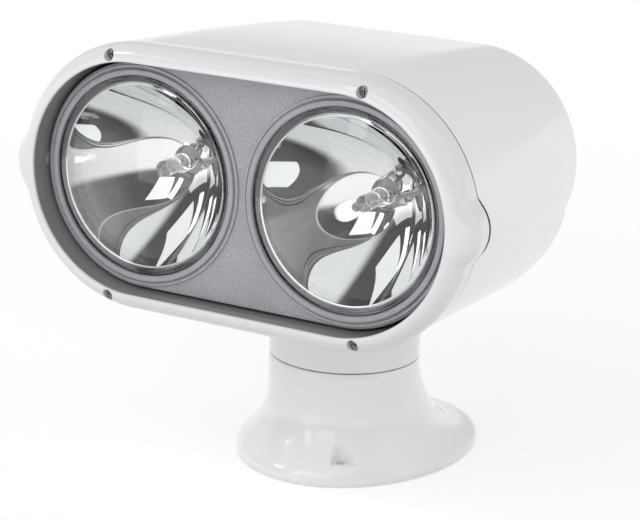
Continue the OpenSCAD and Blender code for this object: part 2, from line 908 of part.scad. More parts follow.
// the three deck screw places
module at_deck_screws() {
  translate([0, deck_back, 0]) for (k = [0:2])
    rotate([0, 0, deck_turn + 120 * k - 90]) translate([deck_pcr, 0, 0]) children();
}

module at_pan_motor() {
  translate([0, pinion_y, 0]) children();
}

module at_pan_motor_screws() {
  for (side = [-1, 1])
    at_pan_motor() translate([side * motor_screw_x, 0, 0]) children();
}

module at_cover_screws() {
  for (k = [0:3])
    rotate([0, 0, 45 + 90 * k]) translate([cover_screw_r, 0, 0]) children();
}

module base_pedestal() {
  lines = [for (i = [0:foot_sides - 1]) foot_line(360 * i / foot_sides)];
  count = len(lines[0]);
  color(white) difference() {
    union() {
      difference() {
        skin([for (j = [count - 1:-1:0]) [for (l = lines) l[j]]]);
        cylinder(r = bore_r, h = web_z);
      }
      at_pan_motor_screws() translate([0, 0, motor_top])
        cylinder(r = motor_post_r, h = web_z - motor_top + over);
    }
    cylinder(r = bush_out, h = foot_top);
    translate([0, 0, bush_z]) cylinder(r = recess_top_r, h = foot_top);
    translate([0, 0, foot_top - seal_depth]) tube(seal_out, seal_in, seal_depth + over);
    cylinder(r = cover_r + slip, h = cover_z);
    at_pan_motor_screws() cylinder(r = small_shank_r, h = motor_top + small_len);
    at_cover_screws() cylinder(r = small_shank_r, h = cover_z + small_len);
    at_deck_screws() cylinder(r = deck_hole_r, h = pocket_floor + over);
    at_deck_screws() translate([0, 0, pocket_floor]) cylinder(r = pocket_r, h = foot_top);
    translate([0, stop_y, bush_z - web_h / 2]) cylinder(r = stop_r, h = web_h);
  }
}

module deck_gasket() {
  color(dark) difference() {
    linear_extrude(height = gasket_t)
      polygon([for (i = [0:foot_sides - 1]) flange_point(360 * i / foot_sides, gasket_inset)]);
    translate([0, grommet_y, -eps])
      cylinder(r = grommet_r + grommet_lip + over, h = gasket_t + 2 * eps);
    at_deck_screws() translate([0, 0, -eps]) cylinder(r = deck_hole_r + slip, h = gasket_t + 2 * eps);
  }
}

module base_cover() {
  color(nylon) difference() {
    translate([0, 0, gasket_t]) cylinder(r = cover_r, h = cover_t);
    at_cover_screws() cylinder(r = small_shank_r, h = 2 * cover_z);
    at_cover_screws() cylinder(r = small_head_r + slip, h = gasket_t + small_head_h);
    translate([0, grommet_y, 0]) cylinder(r = grommet_r, h = 2 * cover_z);
  }
}

module cover_screws() {
  color(steel) at_cover_screws() translate([0, 0, gasket_t])
    screw(small_head_r, small_head_h, small_shank_r, cover_t + small_len - small_head_h - over);
}

module cable_grommet() {
  color(dark) translate([0, grommet_y, 0]) difference() {
    union() {
      translate([0, 0, gasket_t - grommet_low]) cylinder(r = grommet_r + grommet_lip, h = grommet_low);
      translate([0, 0, gasket_t - eps]) cylinder(r = grommet_r, h = cover_t + 2 * eps);
      translate([0, 0, cover_z]) cylinder(r = grommet_r + grommet_lip, h = grommet_lip);
    }
    cylinder(r = cable_r, h = 3 * cover_z);
  }
}

module pan_bush() {
  color(nylon) difference() {
    union() {
      translate([0, 0, web_z]) cylinder(r = bush_out, h = web_h + eps);
      translate([0, 0, bush_z]) cylinder(r = bush_flange_r, h = bush_flange_t);
    }
    cylinder(r = spindle_r + run_fit, h = foot_top);
  }
}

module neck_seal() {
  color(dark) translate([0, 0, foot_top - seal_depth])
    tube(seal_out, seal_in, seal_depth + pan_gap - touch);
}

module pan_motor() {
  color(steel) at_pan_motor() difference() {
    union() {
      translate([0, 0, motor_low]) cylinder(r = pan_motor_r, h = motor_top - motor_low);
      translate([-motor_screw_x - motor_post_r, -motor_plate_w / 2, motor_top - motor_plate_t])
        cube([2 * motor_screw_x + 2 * motor_post_r, motor_plate_w, motor_plate_t]);
    }
    translate([0, 0, motor_top - shaft_in - slip]) cylinder(r = shaft_r + run_fit, h = 2 * shaft_in);
    for (side = [-1, 1])
      translate([side * motor_screw_x, 0, 0]) cylinder(r = small_shank_r, h = gear_z);
  }
}

module pan_motor_screws() {
  color(steel) at_pan_motor_screws() translate([0, 0, motor_top - motor_plate_t - small_head_h])
    screw(small_head_r, small_head_h, small_shank_r, small_len);
}

module pan_pinion() {
  color(brassy) at_pan_motor() {
    translate([0, 0, gear_z]) linear_extrude(height = gear_w)
      polygon(gear_outline(pinion_teeth, -90 + 180 / pinion_teeth));
    translate([0, 0, motor_top - shaft_in]) cylinder(r = shaft_r, h = gear_z - motor_top + shaft_in + eps);
  }
}

module pan_stop_pin() {
  color(steel) translate([0, stop_y, bush_z - web_h / 2])
    cylinder(r = stop_r, h = stop_top - bush_z + web_h / 2);
}

// Pan spindle

module pan_spindle() {
  color(steel) difference() {
    union() {
      translate([0, 0, flange_z]) cylinder(r = flange_r, h = flange_t);
      translate([-tab_w / 2, -tab_r, flange_z]) cube([tab_w, tab_r - flange_r / 2, tab_h]);
      translate([0, 0, web_z - touch]) cylinder(r = spindle_r, h = flange_z - web_z + touch + eps);
      translate([0, 0, spindle_low]) cylinder(r = step_r, h = web_z - spindle_low);
    }
    translate([0, 0, spindle_low - over]) cylinder(r = spindle_bore, h = collar_z);
    translate([0, 0, clip_z]) tube(step_r + over, clip_groove, clip_t);
    translate([0, 0, flange_z - eps]) at_spindle_screws() cylinder(r = shank_r, h = 2 * flange_t);
  }
}

module spindle_screws() {
  color(steel) at_spindle_screws() translate([0, 0, collar_z + web_t + head_h]) mirror([0, 0, 1])
    screw(head_r, head_h, shank_r, web_t + flange_t - over);
}

module pan_gear() {
  color(nylon) difference() {
    union() {
      translate([0, 0, gear_z]) linear_extrude(height = gear_w) polygon(gear_outline(pan_teeth, 90));
      translate([0, 0, gear_z + gear_w - eps]) cylinder(r = hub_r, h = hub_h + eps);
    }
    cylinder(r = step_r, h = web_z);
  }
}

module gear_clip() {
  color(steel) translate([0, 0, clip_z]) difference() {
    tube(clip_r, clip_groove, clip_t);
    translate([0, -clip_gap / 2, -eps]) cube([clip_r + over, clip_gap, clip_t + 2 * eps]);
  }
}

base_pedestal();
deck_gasket();
base_cover();
cover_screws();
cable_grommet();
pan_bush();
neck_seal();
pan_motor();
pan_motor_screws();
pan_stop_pin();
pan_pinion();
head_shell();
front_bezel();
bezel_gasket();
bezel_screws();
pan_spindle();
spindle_screws();
pan_gear();
gear_clip();
pivot_bushes();
tilt_bracket();
bracket_screws();
tilt_motor();
tilt_motor_screws();
tilt_pinion();
lamp_carrier();
pivot_pins();
tilt_sector();
sector_screws();
trim_ring_left();
trim_ring_right();
lamp_gaskets();
lens_left();
lens_right();
mirror_left();
mirror_right();
burner_left();
burner_right();
burner_supports();
lamp_terminals();
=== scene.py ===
import json
import math

import bmesh
import bpy
import numpy as np
from mathutils import Matrix, Vector


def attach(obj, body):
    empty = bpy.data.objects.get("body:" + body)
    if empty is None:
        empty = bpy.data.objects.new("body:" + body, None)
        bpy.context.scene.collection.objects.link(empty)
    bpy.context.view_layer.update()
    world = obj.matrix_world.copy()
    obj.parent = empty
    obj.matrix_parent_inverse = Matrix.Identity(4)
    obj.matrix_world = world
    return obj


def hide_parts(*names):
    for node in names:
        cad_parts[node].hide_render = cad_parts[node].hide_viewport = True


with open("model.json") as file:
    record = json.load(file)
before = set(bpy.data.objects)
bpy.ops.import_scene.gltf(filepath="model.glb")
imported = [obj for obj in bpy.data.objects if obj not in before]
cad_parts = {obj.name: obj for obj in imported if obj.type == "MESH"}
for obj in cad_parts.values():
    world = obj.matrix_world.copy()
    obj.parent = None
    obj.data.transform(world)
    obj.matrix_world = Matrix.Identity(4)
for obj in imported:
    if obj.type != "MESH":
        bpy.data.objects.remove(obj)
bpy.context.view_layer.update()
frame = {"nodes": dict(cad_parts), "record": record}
mm = 0.001
print("frame loaded:", len(frame["nodes"]), "nodes")

# where things stand, in millimetres: lamps face -Y, the pan axis is the Z axis
layout = {
    "lampHalf": 62.5,      # lamp axis to the middle of the head
    "axisHeight": 180.0,   # lamp axes above the deck
    "lipReach": 131.5,     # pan axis to the front lip of the bezel
}
meshCare = {"mergeGap": 1e-6, "sliver": 1e-7}  # in metres


# mesh helpers

def meshFromGrid(name, points, wrapRows=False, sharp=None):
    # grid of points in millimetres, one quad between each four neighbours
    # each row closes into a ring, and doubles are merged at poles
    rows, cols = points.shape[:2]
    index = np.arange(rows * cols).reshape(rows, cols)
    if wrapRows:
        index = np.vstack([index, index[:1]])
    index = np.hstack([index, index[:, :1]])
    corners = [index[:-1, :-1], index[:-1, 1:], index[1:, 1:], index[1:, :-1]]
    quads = np.stack(corners, -1).reshape(-1, 4)
    mesh = bpy.data.meshes.new(name)
    mesh.vertices.add(rows * cols)
    mesh.vertices.foreach_set("co", (points * mm).astype(np.float32).ravel())
    mesh.loops.add(quads.size)
    mesh.loops.foreach_set("vertex_index", quads.astype(np.int32).ravel())
    mesh.polygons.add(len(quads))
    mesh.polygons.foreach_set("loop_start", np.arange(0, quads.size, 4, dtype=np.int32))
    mesh.update(calc_edges=True)
    cleanMesh(mesh)
    finishShading(mesh, sharp)
    return mesh


def cleanMesh(mesh):
    bm = bmesh.new()
    bm.from_mesh(mesh)
    bmesh.ops.remove_doubles(bm, verts=bm.verts, dist=meshCare["mergeGap"])
    bmesh.ops.dissolve_degenerate(bm, edges=bm.edges, dist=meshCare["sliver"])
    bmesh.ops.recalc_face_normals(bm, faces=bm.faces)
    bm.to_mesh(mesh)
    bm.free()


def finishShading(mesh, sharp=None):
    mesh.shade_smooth()
    if sharp:
        mesh.set_sharp_from_angle(angle=math.radians(sharp))


def addObject(name, data):
    thing = bpy.data.objects.new(name, data)
    bpy.context.scene.collection.objects.link(thing)
    return thing


def addPiece(mesh, body, slotName, *nodes, finish=None):
    # wears the finish of its slot if no other is given
    piece = addObject(mesh.name, mesh)
    piece.data.materials.append(finishes[finish or slotName])
    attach(piece, body)
    if nodes:
        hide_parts(*nodes)
    return piece


def joinMeshes(name, meshes):
    bm = bmesh.new()
    for part in meshes:
        bm.from_mesh(part)
    joined = bpy.data.meshes.new(name)
    bm.to_mesh(joined)
    bm.free()
    for part in meshes:
        bpy.data.meshes.remove(part)
    return joined


def cutAway(piece, cutterMesh, sharp):
    # takes the cutter's solid out of the piece and keeps the result as its mesh
    cutter = addObject("cutter", cutterMesh)
    cut = piece.modifiers.new("cut", "BOOLEAN")
    cut.operation = "DIFFERENCE"
    cut.solver = "EXACT"
    cut.object = cutter
    graph = bpy.context.evaluated_depsgraph_get()
    result = bpy.data.meshes.new_from_object(piece.evaluated_get(graph))
    piece.modifiers.clear()
    old = piece.data
    name = old.name
    piece.data = result
    bpy.data.meshes.remove(old)
    result.name = name
    bpy.data.objects.remove(cutter)
    bpy.data.meshes.remove(cutterMesh)
    finishShading(result, sharp)


def toHead(points):
    # head sizes run right, back from the lip and up from the lamp axes
    return points + np.array([0.0, -layout["lipReach"], layout["axisHeight"]])


def beside(*coords):
    # points from their coordinates, single values repeated
    return np.stack(np.broadcast_arrays(*coords), -1)


def fullTurn(steps):
    return np.linspace(0, 2 * np.pi, steps, endpoint=False)


def turnedGrid(profile, centre, steps):
    # a profile of (radius, depth) turned about a line that runs back through centre
    angle = fullTurn(steps)
    r = profile[:, :1]
    x = centre[0] + r * np.cos(angle)
    z = centre[2] + r * np.sin(angle)
    return beside(x, centre[1] + profile[:, 1:], z)


def uprightGrid(profile, steps, centre=(0.0, 0.0)):
    # a profile of (radius, height) turned about an upright line
    angle = fullTurn(steps)
    r = profile[:, :1]
    x = centre[0] + r * np.cos(angle)
    y = centre[1] + r * np.sin(angle)
    return beside(x, y, profile[:, 1:])


def arcPoints(centre, radius, start, end, count):
    # points of a circle from one angle to another, in degrees
    a = np.radians(np.linspace(start, end, count))
    return beside(centre[0] + radius * np.cos(a), centre[1] + radius * np.sin(a))


def bezierPoints(a, b, c, count):
    # quadratic curve from a to c, drawn towards b
    t = np.linspace(0, 1, count)[:, None]
    a, b, c = np.array(a, float), np.array(b, float), np.array(c, float)
    return (1 - t) ** 2 * a + 2 * t * (1 - t) * b + t * t * c


def roundedProfile(corners, radius, count):
    # corners of a polygon, each rounded by a small quadratic curve
    most = 0.45  # of an edge's length
    corners = np.array(corners, float)
    before = np.roll(corners, 1, axis=0)
    after = np.roll(corners, -1, axis=0)
    toBefore = before - corners
    toAfter = after - corners
    reachBefore = np.linalg.norm(toBefore, axis=1, keepdims=True)
    reachAfter = np.linalg.norm(toAfter, axis=1, keepdims=True)
    r = np.broadcast_to(np.array(radius, float).reshape(-1, 1), (len(corners), 1))
    start = corners + toBefore / reachBefore * np.minimum(r, reachBefore * most)
    end = corners + toAfter / reachAfter * np.minimum(r, reachAfter * most)
    t = np.linspace(0, 1, count)[None, :, None]
    pull = corners[:, None]
    curve = (1 - t) ** 2 * start[:, None] + 2 * t * (1 - t) * pull + t * t * end[:, None]
    return curve.reshape(-1, 2)


def tubeAlong(path, radius, sides):
    # a round tube along a path of points, its frame set by a fixed direction that no path follows
    # both ends close in a point
    fixed = np.array([0.31, 0.17, 0.93])
    along = np.gradient(path, axis=0)
    along /= np.linalg.norm(along, axis=1, keepdims=True)
    side = np.cross(along, fixed)
    side /= np.linalg.norm(side, axis=1, keepdims=True)
    other = np.cross(along, side)
    a = fullTurn(sides)
    ring = side[:, None] * np.cos(a)[None, :, None] + other[:, None] * np.sin(a)[None, :, None]
    tube = path[:, None] + radius * ring
    first = np.repeat(path[:1][:, None], sides, axis=1)
    last = np.repeat(path[-1:][:, None], sides, axis=1)
    return np.concatenate([first, tube, last], axis=0)


# shader groups

def newGroup(name, inputs, outputs):
    group = bpy.data.node_groups.new(name, "ShaderNodeTree")
    for label, value in inputs.items():
        socket = group.interface.new_socket(label, in_out="INPUT", socket_type="NodeSocketFloat")
        socket.default_value = value
    for label in outputs:
        group.interface.new_socket(label, in_out="OUTPUT", socket_type="NodeSocketFloat")
    start = group.nodes.new("NodeGroupInput")
    end = group.nodes.new("NodeGroupOutput")
    return group, start, end


def mathNode(tree, operation, first, second=None, third=None):
    node = tree.nodes.new("ShaderNodeMath")
    node.operation = operation
    for place, value in enumerate((first, second, third)):
        if value is None:
            continue
        if isinstance(value, (int, float)):
            node.inputs[place].default_value = value
        else:
            tree.links.new(value, node.inputs[place])
    return node.outputs[0]


def noiseNode(tree, coords, scale, detail, rough=0.5):
    node = tree.nodes.new("ShaderNodeTexNoise")
    tree.links.new(coords, node.inputs["Vector"])
    node.inputs["Detail"].default_value = detail
    node.inputs["Roughness"].default_value = rough
    if isinstance(scale, (int, float)):
        node.inputs["Scale"].default_value = scale
    else:
        tree.links.new(scale, node.inputs["Scale"])
    return node.outputs["Fac"]


def mapRange(tree, value, span, low, high, smooth=False):
    node = tree.nodes.new("ShaderNodeMapRange")
    node.interpolation_type = "SMOOTHSTEP" if smooth else "LINEAR"
    tree.links.new(value, node.inputs["Value"])
    for label, setting in zip(("From Min", "From Max", "To Min", "To Max"), (*span, low, high)):
        node.inputs[label].default_value = setting
    return node.outputs[0]


def buildGrainGroup():
    # slow clouds for the tone, fine grain for the height: noise at a scale and at a multiple of it
    group, start, end = newGroup(
        "surfaceGrain", {"Scale": 60.0, "Fine": 20.0, "Amount": 0.1}, ("Tone", "Grain", "Height"))
    coords = group.nodes.new("ShaderNodeTexCoord").outputs["Object"]
    fineScale = mathNode(group, "MULTIPLY", start.outputs["Scale"], start.outputs["Fine"])
    slow = noiseNode(group, coords, start.outputs["Scale"], detail=3.0)
    fine = noiseNode(group, coords, fineScale, detail=2.0, rough=0.6)
    centred = mathNode(group, "SUBTRACT", slow, 0.5)
    tone = mathNode(group, "MULTIPLY_ADD", centred, start.outputs["Amount"], 0.5)
    group.links.new(tone, end.inputs["Tone"])
    group.links.new(slow, end.inputs["Grain"])
    group.links.new(fine, end.inputs["Height"])
    return group


def buildDustGroup():
    # dust lies where the surface looks up: the upward part of the normal, cubed, times noise
    group, start, end = newGroup("settledDust", {"Amount": 0.1, "Scale": 90.0}, ("Mask",))
    normal = group.nodes.new("ShaderNodeTexCoord")
    split = group.nodes.new("ShaderNodeSeparateXYZ")
    group.links.new(normal.outputs["Normal"], split.inputs[0])
    facing = mathNode(group, "SMOOTH_MIN", split.outputs["Z"], 1.0, 0.1)
    upward = mathNode(group, "MAXIMUM", facing, 0.0)
    broken = noiseNode(group, normal.outputs["Object"], start.outputs["Scale"], detail=4.0, rough=0.65)
    spread = mathNode(group, "MULTIPLY", mathNode(group, "POWER", upward, 3.0), broken)
    group.links.new(mathNode(group, "MULTIPLY", spread, start.outputs["Amount"]), end.inputs["Mask"])
    return group


def buildTurningGroup():
    # fine tool marks: noise stretched along one direction, so that lines run round or along a piece
    group, start, end = newGroup("toolMarks", {"Scale": 400.0, "Stretch": 0.04}, ("Line",))
    coords = group.nodes.new("ShaderNodeTexCoord").outputs["Object"]
    split = group.nodes.new("ShaderNodeSeparateXYZ")
    join = group.nodes.new("ShaderNodeCombineXYZ")
    group.links.new(coords, split.inputs[0])
    for axis in ("X", "Y"):
        drawn = mathNode(group, "MULTIPLY", split.outputs[axis], start.outputs["Stretch"])
        group.links.new(drawn, join.inputs[axis])
    group.links.new(split.outputs["Z"], join.inputs["Z"])
    line = noiseNode(group, join.outputs[0], start.outputs["Scale"], detail=3.0, rough=0.7)
    group.links.new(line, end.inputs["Line"])
    return group


grainGroup = buildGrainGroup()
dustGroup = buildDustGroup()
turningGroup = buildTurningGroup()
print("shader groups built")


# materials

# the dark tone for the mirror's rim is a painted dark reflection
tones = {
    # the throat tone is painted shade for the inner wall of the bezel's opening
    "dust": (0.62, 0.6, 0.57), "throatShade": (0.27, 0.27, 0.27), "darkRimTone": (0.09, 0.09, 0.095),
    "rubberDeep": (0.012, 0.012, 0.013), "rubberLight": (0.03, 0.03, 0.032),
    "silverDeep": (0.8, 0.81, 0.82), "silverLight": (0.9, 0.9, 0.9), "clear": (1.0, 1.0, 1.0),
}


def placeGroup(material, group, **values):
    node = material.node_tree.nodes.new("ShaderNodeGroup")
    node.node_tree = group
    for label, value in values.items():
        node.inputs[label].default_value = value
    return node.outputs


def newMaterial(name, **settings):
    material = bpy.data.materials.new(name)
    material.use_nodes = True
    shader = material.node_tree.nodes["Principled BSDF"]
    for label, value in settings.items():
        shader.inputs[label.replace("_", " ")].default_value = value
    return material, shader


def mixColour(material, factor, first, second):
    node = material.node_tree.nodes.new("ShaderNodeMix")
    node.data_type = "RGBA"
    material.node_tree.links.new(factor, node.inputs["Factor"])
    for value, label in ((first, 6), (second, 7)):
        if isinstance(value, tuple):
            node.inputs[label].default_value = (*value, 1.0)
        else:
            material.node_tree.links.new(value, node.inputs[label])
    return node.outputs[2]


def maskNode(material, name):
    node = material.node_tree.nodes.new("ShaderNodeAttribute")
    node.attribute_name = name
    return node.outputs["Fac"]


def bumpFrom(material, shader, height, strength, distance):
    node = material.node_tree.nodes.new("ShaderNodeBump")
    node.inputs["Strength"].default_value = strength
    node.inputs["Distance"].default_value = distance * mm
    material.node_tree.links.new(height, node.inputs["Height"])
    material.node_tree.links.new(node.outputs[0], shader.inputs["Normal"])


def feed(material, shader, colour, value, low, high):
    # a colour, and a roughness that runs from low to high with the value
    tree = material.node_tree
    tree.links.new(colour, shader.inputs["Base Color"])
    tree.links.new(mapRange(tree, value, (0.0, 1.0), low, high), shader.inputs["Roughness"])


def glossWhite(name, tint, shade, throatShade=False):
    # glossy moulded white: faint clouds in the tone, orange peel under the gloss, a trace of dust on top
    material, shader = newMaterial(
        name, Specular_IOR_Level=0.5, Coat_Weight=0.5, Coat_Roughness=0.04, IOR=1.5)
    grain = placeGroup(material, grainGroup, Scale=14.0, Fine=28.0, Amount=0.6)
    dust = placeGroup(material, dustGroup, Amount=0.12, Scale=70.0)
    colour = mixColour(material, grain["Tone"], shade, tint)
    colour = mixColour(material, dust["Mask"], colour, tones["dust"])
    if throatShade:
        mask = maskNode(material, "throatShade")  # the inner wall of the opening is painted grey: painted shade inside the opening
        colour = mixColour(material, mask, colour, tones["throatShade"])
    feed(material, shader, colour, grain["Grain"], low=0.14, high=0.22)
    bumpFrom(material, shader, grain["Height"], strength=0.05, distance=0.05)
    return material


def blackRubber():
    # matt black with coarse grain
    material, shader = newMaterial("blackRubber", Specular_IOR_Level=0.3)
    grain = placeGroup(material, grainGroup, Scale=120.0, Fine=12.0, Amount=0.8)
    colour = mixColour(material, grain["Tone"], tones["rubberDeep"], tones["rubberLight"])
    feed(material, shader, colour, grain["Grain"], low=0.55, high=0.8)
    bumpFrom(material, shader, grain["Height"], strength=0.25, distance=0.1)
    return material


def bearingPlastic(name, light, deep):
    # half-matt plastic or ceramic with a soft mottle
    material, shader = newMaterial(name, Specular_IOR_Level=0.4)
    grain = placeGroup(material, grainGroup, Scale=90.0, Fine=14.0, Amount=0.7)
    colour = mixColour(material, grain["Tone"], deep, light)
    feed(material, shader, colour, grain["Grain"], low=0.35, high=0.55)
    bumpFrom(material, shader, grain["Height"], strength=0.12, distance=0.08)
    return material


def workedMetal(name, light, deep, rough, marks=500.0):
    # bare metal with tool marks in tone, gloss and height
    material, shader = newMaterial(name, Metallic=1.0)
    line = placeGroup(material, turningGroup, Scale=marks, Stretch=0.05)
    grain = placeGroup(material, grainGroup, Scale=70.0, Fine=16.0, Amount=0.8)
    colour = mixColour(material, line["Line"], deep, light)
    colour = mixColour(material, grain["Tone"], deep, colour)
    feed(material, shader, colour, line["Line"], low=rough - 0.08, high=rough + 0.1)
    bumpFrom(material, shader, line["Line"], strength=0.08, distance=0.03)
    return material


def sandBlasted(name, light, deep, rough):
    # silver paint over a sand-blasted casting: fine pits as bump, mottled tone
    material, shader = newMaterial(name, Specular_IOR_Level=0.5, Metallic=0.25)
    grain = placeGroup(material, grainGroup, Scale=55.0, Fine=22.0, Amount=0.9)
    fine = placeGroup(material, grainGroup, Scale=650.0, Fine=2.5, Amount=2.4)
    colour = mixColour(material, grain["Tone"], deep, light)
    colour = mixColour(material, fine["Tone"], deep, colour)
    feed(material, shader, colour, fine["Grain"], low=rough - 0.08, high=rough + 0.08)
    bumpFrom(material, shader, fine["Height"], strength=0.3, distance=0.08)
    return material


def silverMirror():
    # polished silver on glass with the faintest waviness
    material, shader = newMaterial("silverMirror", Metallic=1.0)
    grain = placeGroup(material, grainGroup, Scale=40.0, Fine=6.0, Amount=0.6)
    colour = mixColour(material, grain["Tone"], tones["silverDeep"], tones["silverLight"])
    darkRimShare = maskNode(material, "paintedDarkRim")  # the glass round the mirror is painted dark: a painted dark reflection on the rim
    colour = mixColour(material, darkRimShare, colour, tones["darkRimTone"])
    feed(material, shader, colour, grain["Grain"], low=0.0, high=0.008)
    bumpFrom(material, shader, grain["Grain"], strength=0.01, distance=0.2)
    return material


def clearGlass(name, tint, gloss):
    # clear glass, a breath of tint and slow waves in its face
    material, shader = newMaterial(name, Transmission_Weight=1.0, IOR=1.47, Specular_IOR_Level=gloss)
    grain = placeGroup(material, grainGroup, Scale=30.0, Fine=10.0, Amount=0.3)
    colour = mixColour(material, grain["Tone"], tint, tones["clear"])
    feed(material, shader, colour, grain["Grain"], low=0.0, high=0.004)
    bumpFrom(material, shader, grain["Grain"], strength=0.02, distance=0.1)
    return material


finishes = {
    # foot, shell and bezel are one white plastic: the foot's white is painted lighter and the bezel's
    # darker than the shell's, as painted light and shade
    "foot_white": glossWhite("footWhiteLit", (0.92, 0.92, 0.925), (0.9, 0.9, 0.905)),
    "shell_white": glossWhite("shellWhite", (0.87, 0.86, 0.86), (0.85, 0.84, 0.84)),
    "bezel_white": glossWhite("bezelWhiteShaded", (0.78, 0.785, 0.795), (0.75, 0.755, 0.765), throatShade=True),
    "black_rubber": blackRubber(),
    "grey_plastic": bearingPlastic("greyPlastic", (0.34, 0.34, 0.33), (0.28, 0.28, 0.27)),
    "bush_plastic": bearingPlastic("bushPlastic", (0.66, 0.62, 0.5), (0.58, 0.54, 0.43)),
    "screw_steel": workedMetal("screwSteel", (0.42, 0.41, 0.4), (0.2, 0.2, 0.2), 0.32),
    "bright_wire": workedMetal("brightWire", (0.92, 0.92, 0.93), (0.78, 0.78, 0.8), 0.12),
    "turned_steel": workedMetal("turnedSteel", (0.58, 0.58, 0.59), (0.42, 0.42, 0.43), 0.3),
    "motor_steel": workedMetal("motorSteel", (0.46, 0.47, 0.49), (0.3, 0.31, 0.33), 0.4, 260.0),
    "pinion_brass": workedMetal("pinionBrass", (0.75, 0.55, 0.22), (0.55, 0.38, 0.13), 0.28),
    "lamp_plate": sandBlasted("platePaint", (0.53, 0.53, 0.56), (0.31, 0.31, 0.335), 0.5),
    "trim_silver": sandBlasted("trimPaint", (0.48, 0.48, 0.515), (0.33, 0.33, 0.36), 0.42),
    "lens_glass": clearGlass("lensGlass", (0.97, 0.985, 0.99), 0.25),
    "lamp_mirror": silverMirror(),
    "burner_quartz": clearGlass("burnerQuartz", (0.98, 0.98, 0.985), 0.5),
    "burner_ceramic": bearingPlastic("burnerCeramic", (0.87, 0.86, 0.84), (0.8, 0.79, 0.77)),
}
slotOf = {part["node"]: part["material_slot"] for part in frame["record"]["subparts"]}
slotOf["pivot_bushes"] = "grey_plastic"  # darker than the bush in the foot
for node, piece in frame["nodes"].items():
    piece.data.materials.clear()
    piece.data.materials.append(finishes[slotOf[node]])
print("materials assigned:", len(finishes))


# head shell: rings between the seam outline and the rear outline

shellSizes = {
    "seamRadius": 72.5, "rearRadius": 63.0, "rearHalf": 56.5, "start": 22.8, "depth": 152.5,
    "chineDrop": 25.0, "keelDrop": 98.0, "keelHalf": 20.0, "bilgeHalf": 76.0, "sideFall": 24.0,
    "sideBulge": 0.48, "keelBulge": 0.3, "rearRound": 7.0, "wall": 3.0,
    "capShares": (0.9, 0.7, 0.45, 0.2, 0.0), "sharp": 60,
    "upperSteps": 40, "lowerSteps": 36, "flatSteps": 10, "ringSteps": 56, "roundSteps": 10,
}


def cubicPoints(a, b, c, d, count):
    # cubic curve from a to d, drawn towards b and then c
    t = np.linspace(0, 1, count)[:, None]
    return (1 - t) ** 3 * a + 3 * (1 - t) ** 2 * t * b + 3 * (1 - t) * t * t * c + t ** 3 * d


def shellHalf(share, inset):
    # right half of a ring: arc above the chine, cubic curve from the chine to the keel,
    # mixed from the seam outline to the rear outline by two bulging shares
    s = shellSizes
    up, low = s["upperSteps"], s["lowerSteps"]
    seamR = s["seamRadius"] - inset
    rearR = s["rearRadius"] - inset
    seamChine = math.degrees(math.asin(-s["chineDrop"] / seamR))
    rearChine = math.degrees(math.asin(-s["chineDrop"] / rearR))
    centre = (layout["lampHalf"], 0.0)
    seam = np.vstack([
        arcPoints(centre, seamR, 90, seamChine, up + 1),
        arcPoints(centre, seamR, seamChine, -90, low + 1)[1:]])
    upper = arcPoints((s["rearHalf"], 0.0), rearR, 90, rearChine, up + 1)
    chine = upper[-1]
    side = chine - np.array([0.0, s["sideFall"]])
    bilge = np.array([s["bilgeHalf"] - inset / 2, inset - s["keelDrop"]])
    keel = np.array([s["keelHalf"], inset - s["keelDrop"]])
    rear = np.vstack([upper, cubicPoints(chine, side, bilge, keel, low + 1)[1:]])
    lower = np.clip(np.arange(len(seam)) - up, 0, None)[:, None] / low
    upShare = share + s["sideBulge"] * share * (share - 1)
    lowShare = share + s["keelBulge"] * share * (share - 1)
    mix = (1 - lower) * upShare + lower * lowShare
    return (1 - mix) * seam + mix * rear


def shellRing(share, inset, depth):
    # the half, its mirror image and two straight rows between them
    half = shellHalf(share, inset)
    across = np.linspace(-1, 1, shellSizes["flatSteps"] + 1)[1:-1]
    top = beside(across * half[0, 0], half[0, 1])
    bottom = beside(-across * half[-1, 0], half[-1, 1])
    outline = np.vstack([half, bottom, half[::-1] * np.array([-1.0, 1.0]), top])
    return beside(outline[:, 0], depth, outline[:, 1])


def shellRows(inset):
    # rings from the seam to the rear, a quarter round of the rear edge, then a flat cap to its middle
    s = shellSizes
    shares = np.linspace(0, 1, s["ringSteps"] + 1)
    rows = [shellRing(t, inset, s["start"] + s["depth"] * t) for t in shares]
    roll = s["rearRound"] - inset
    turns = np.radians(np.linspace(0, 90, s["roundSteps"] + 1)[1:])
    back = s["start"] + s["depth"]
    rows += [shellRing(1.0, inset + roll * (1 - math.cos(a)), back + roll * math.sin(a)) for a in turns]
    middle = rows[-1].mean(axis=0)
    rows += [middle + (rows[-1] - middle) * f for f in s["capShares"]]
    return np.array(rows)


shellGrid = np.concatenate([shellRows(shellSizes["wall"])[::-1], shellRows(0.0)])
shellMesh = meshFromGrid("shellSkin", toHead(shellGrid), sharp=shellSizes["sharp"])
addPiece(shellMesh, "head", "shell_white", "head_shell")

# neck collar: the profile of a cup with a rolled lower edge, turned about the pan axis

collarSizes = {
    "radius": 44.0, "bottom": 61.3, "top": 99.0, "roll": 1.2, "wallStart": 3.0, "web": 5.0, "wall": 3.5,
    "bore": 7.0, "rollSteps": 6, "wallSteps": 8, "turnSteps": 160, "sharp": 50,
}


def collarProfile():
    c = collarSizes
    out, low, web = c["radius"], c["bottom"], c["bottom"] + c["web"]
    height = np.linspace(low + c["wallStart"], c["top"], c["wallSteps"])
    return np.vstack([
        [[c["bore"], low]],
        bezierPoints((out - c["roll"], low), (out, low), (out, low + c["roll"]), c["rollSteps"]),
        beside(out, height),
        [[out - c["wall"], c["top"]], [out - c["wall"], web], [c["bore"], web]],
    ])


collarGrid = uprightGrid(collarProfile(), collarSizes["turnSteps"])
collarMesh = meshFromGrid("neckCollar", collarGrid, wrapRows=True, sharp=collarSizes["sharp"])
addPiece(collarMesh, "head", "shell_white")
print("head shell and neck collar built")


# bezel: a profile carried round a stadium, its outside swollen by the two end bosses

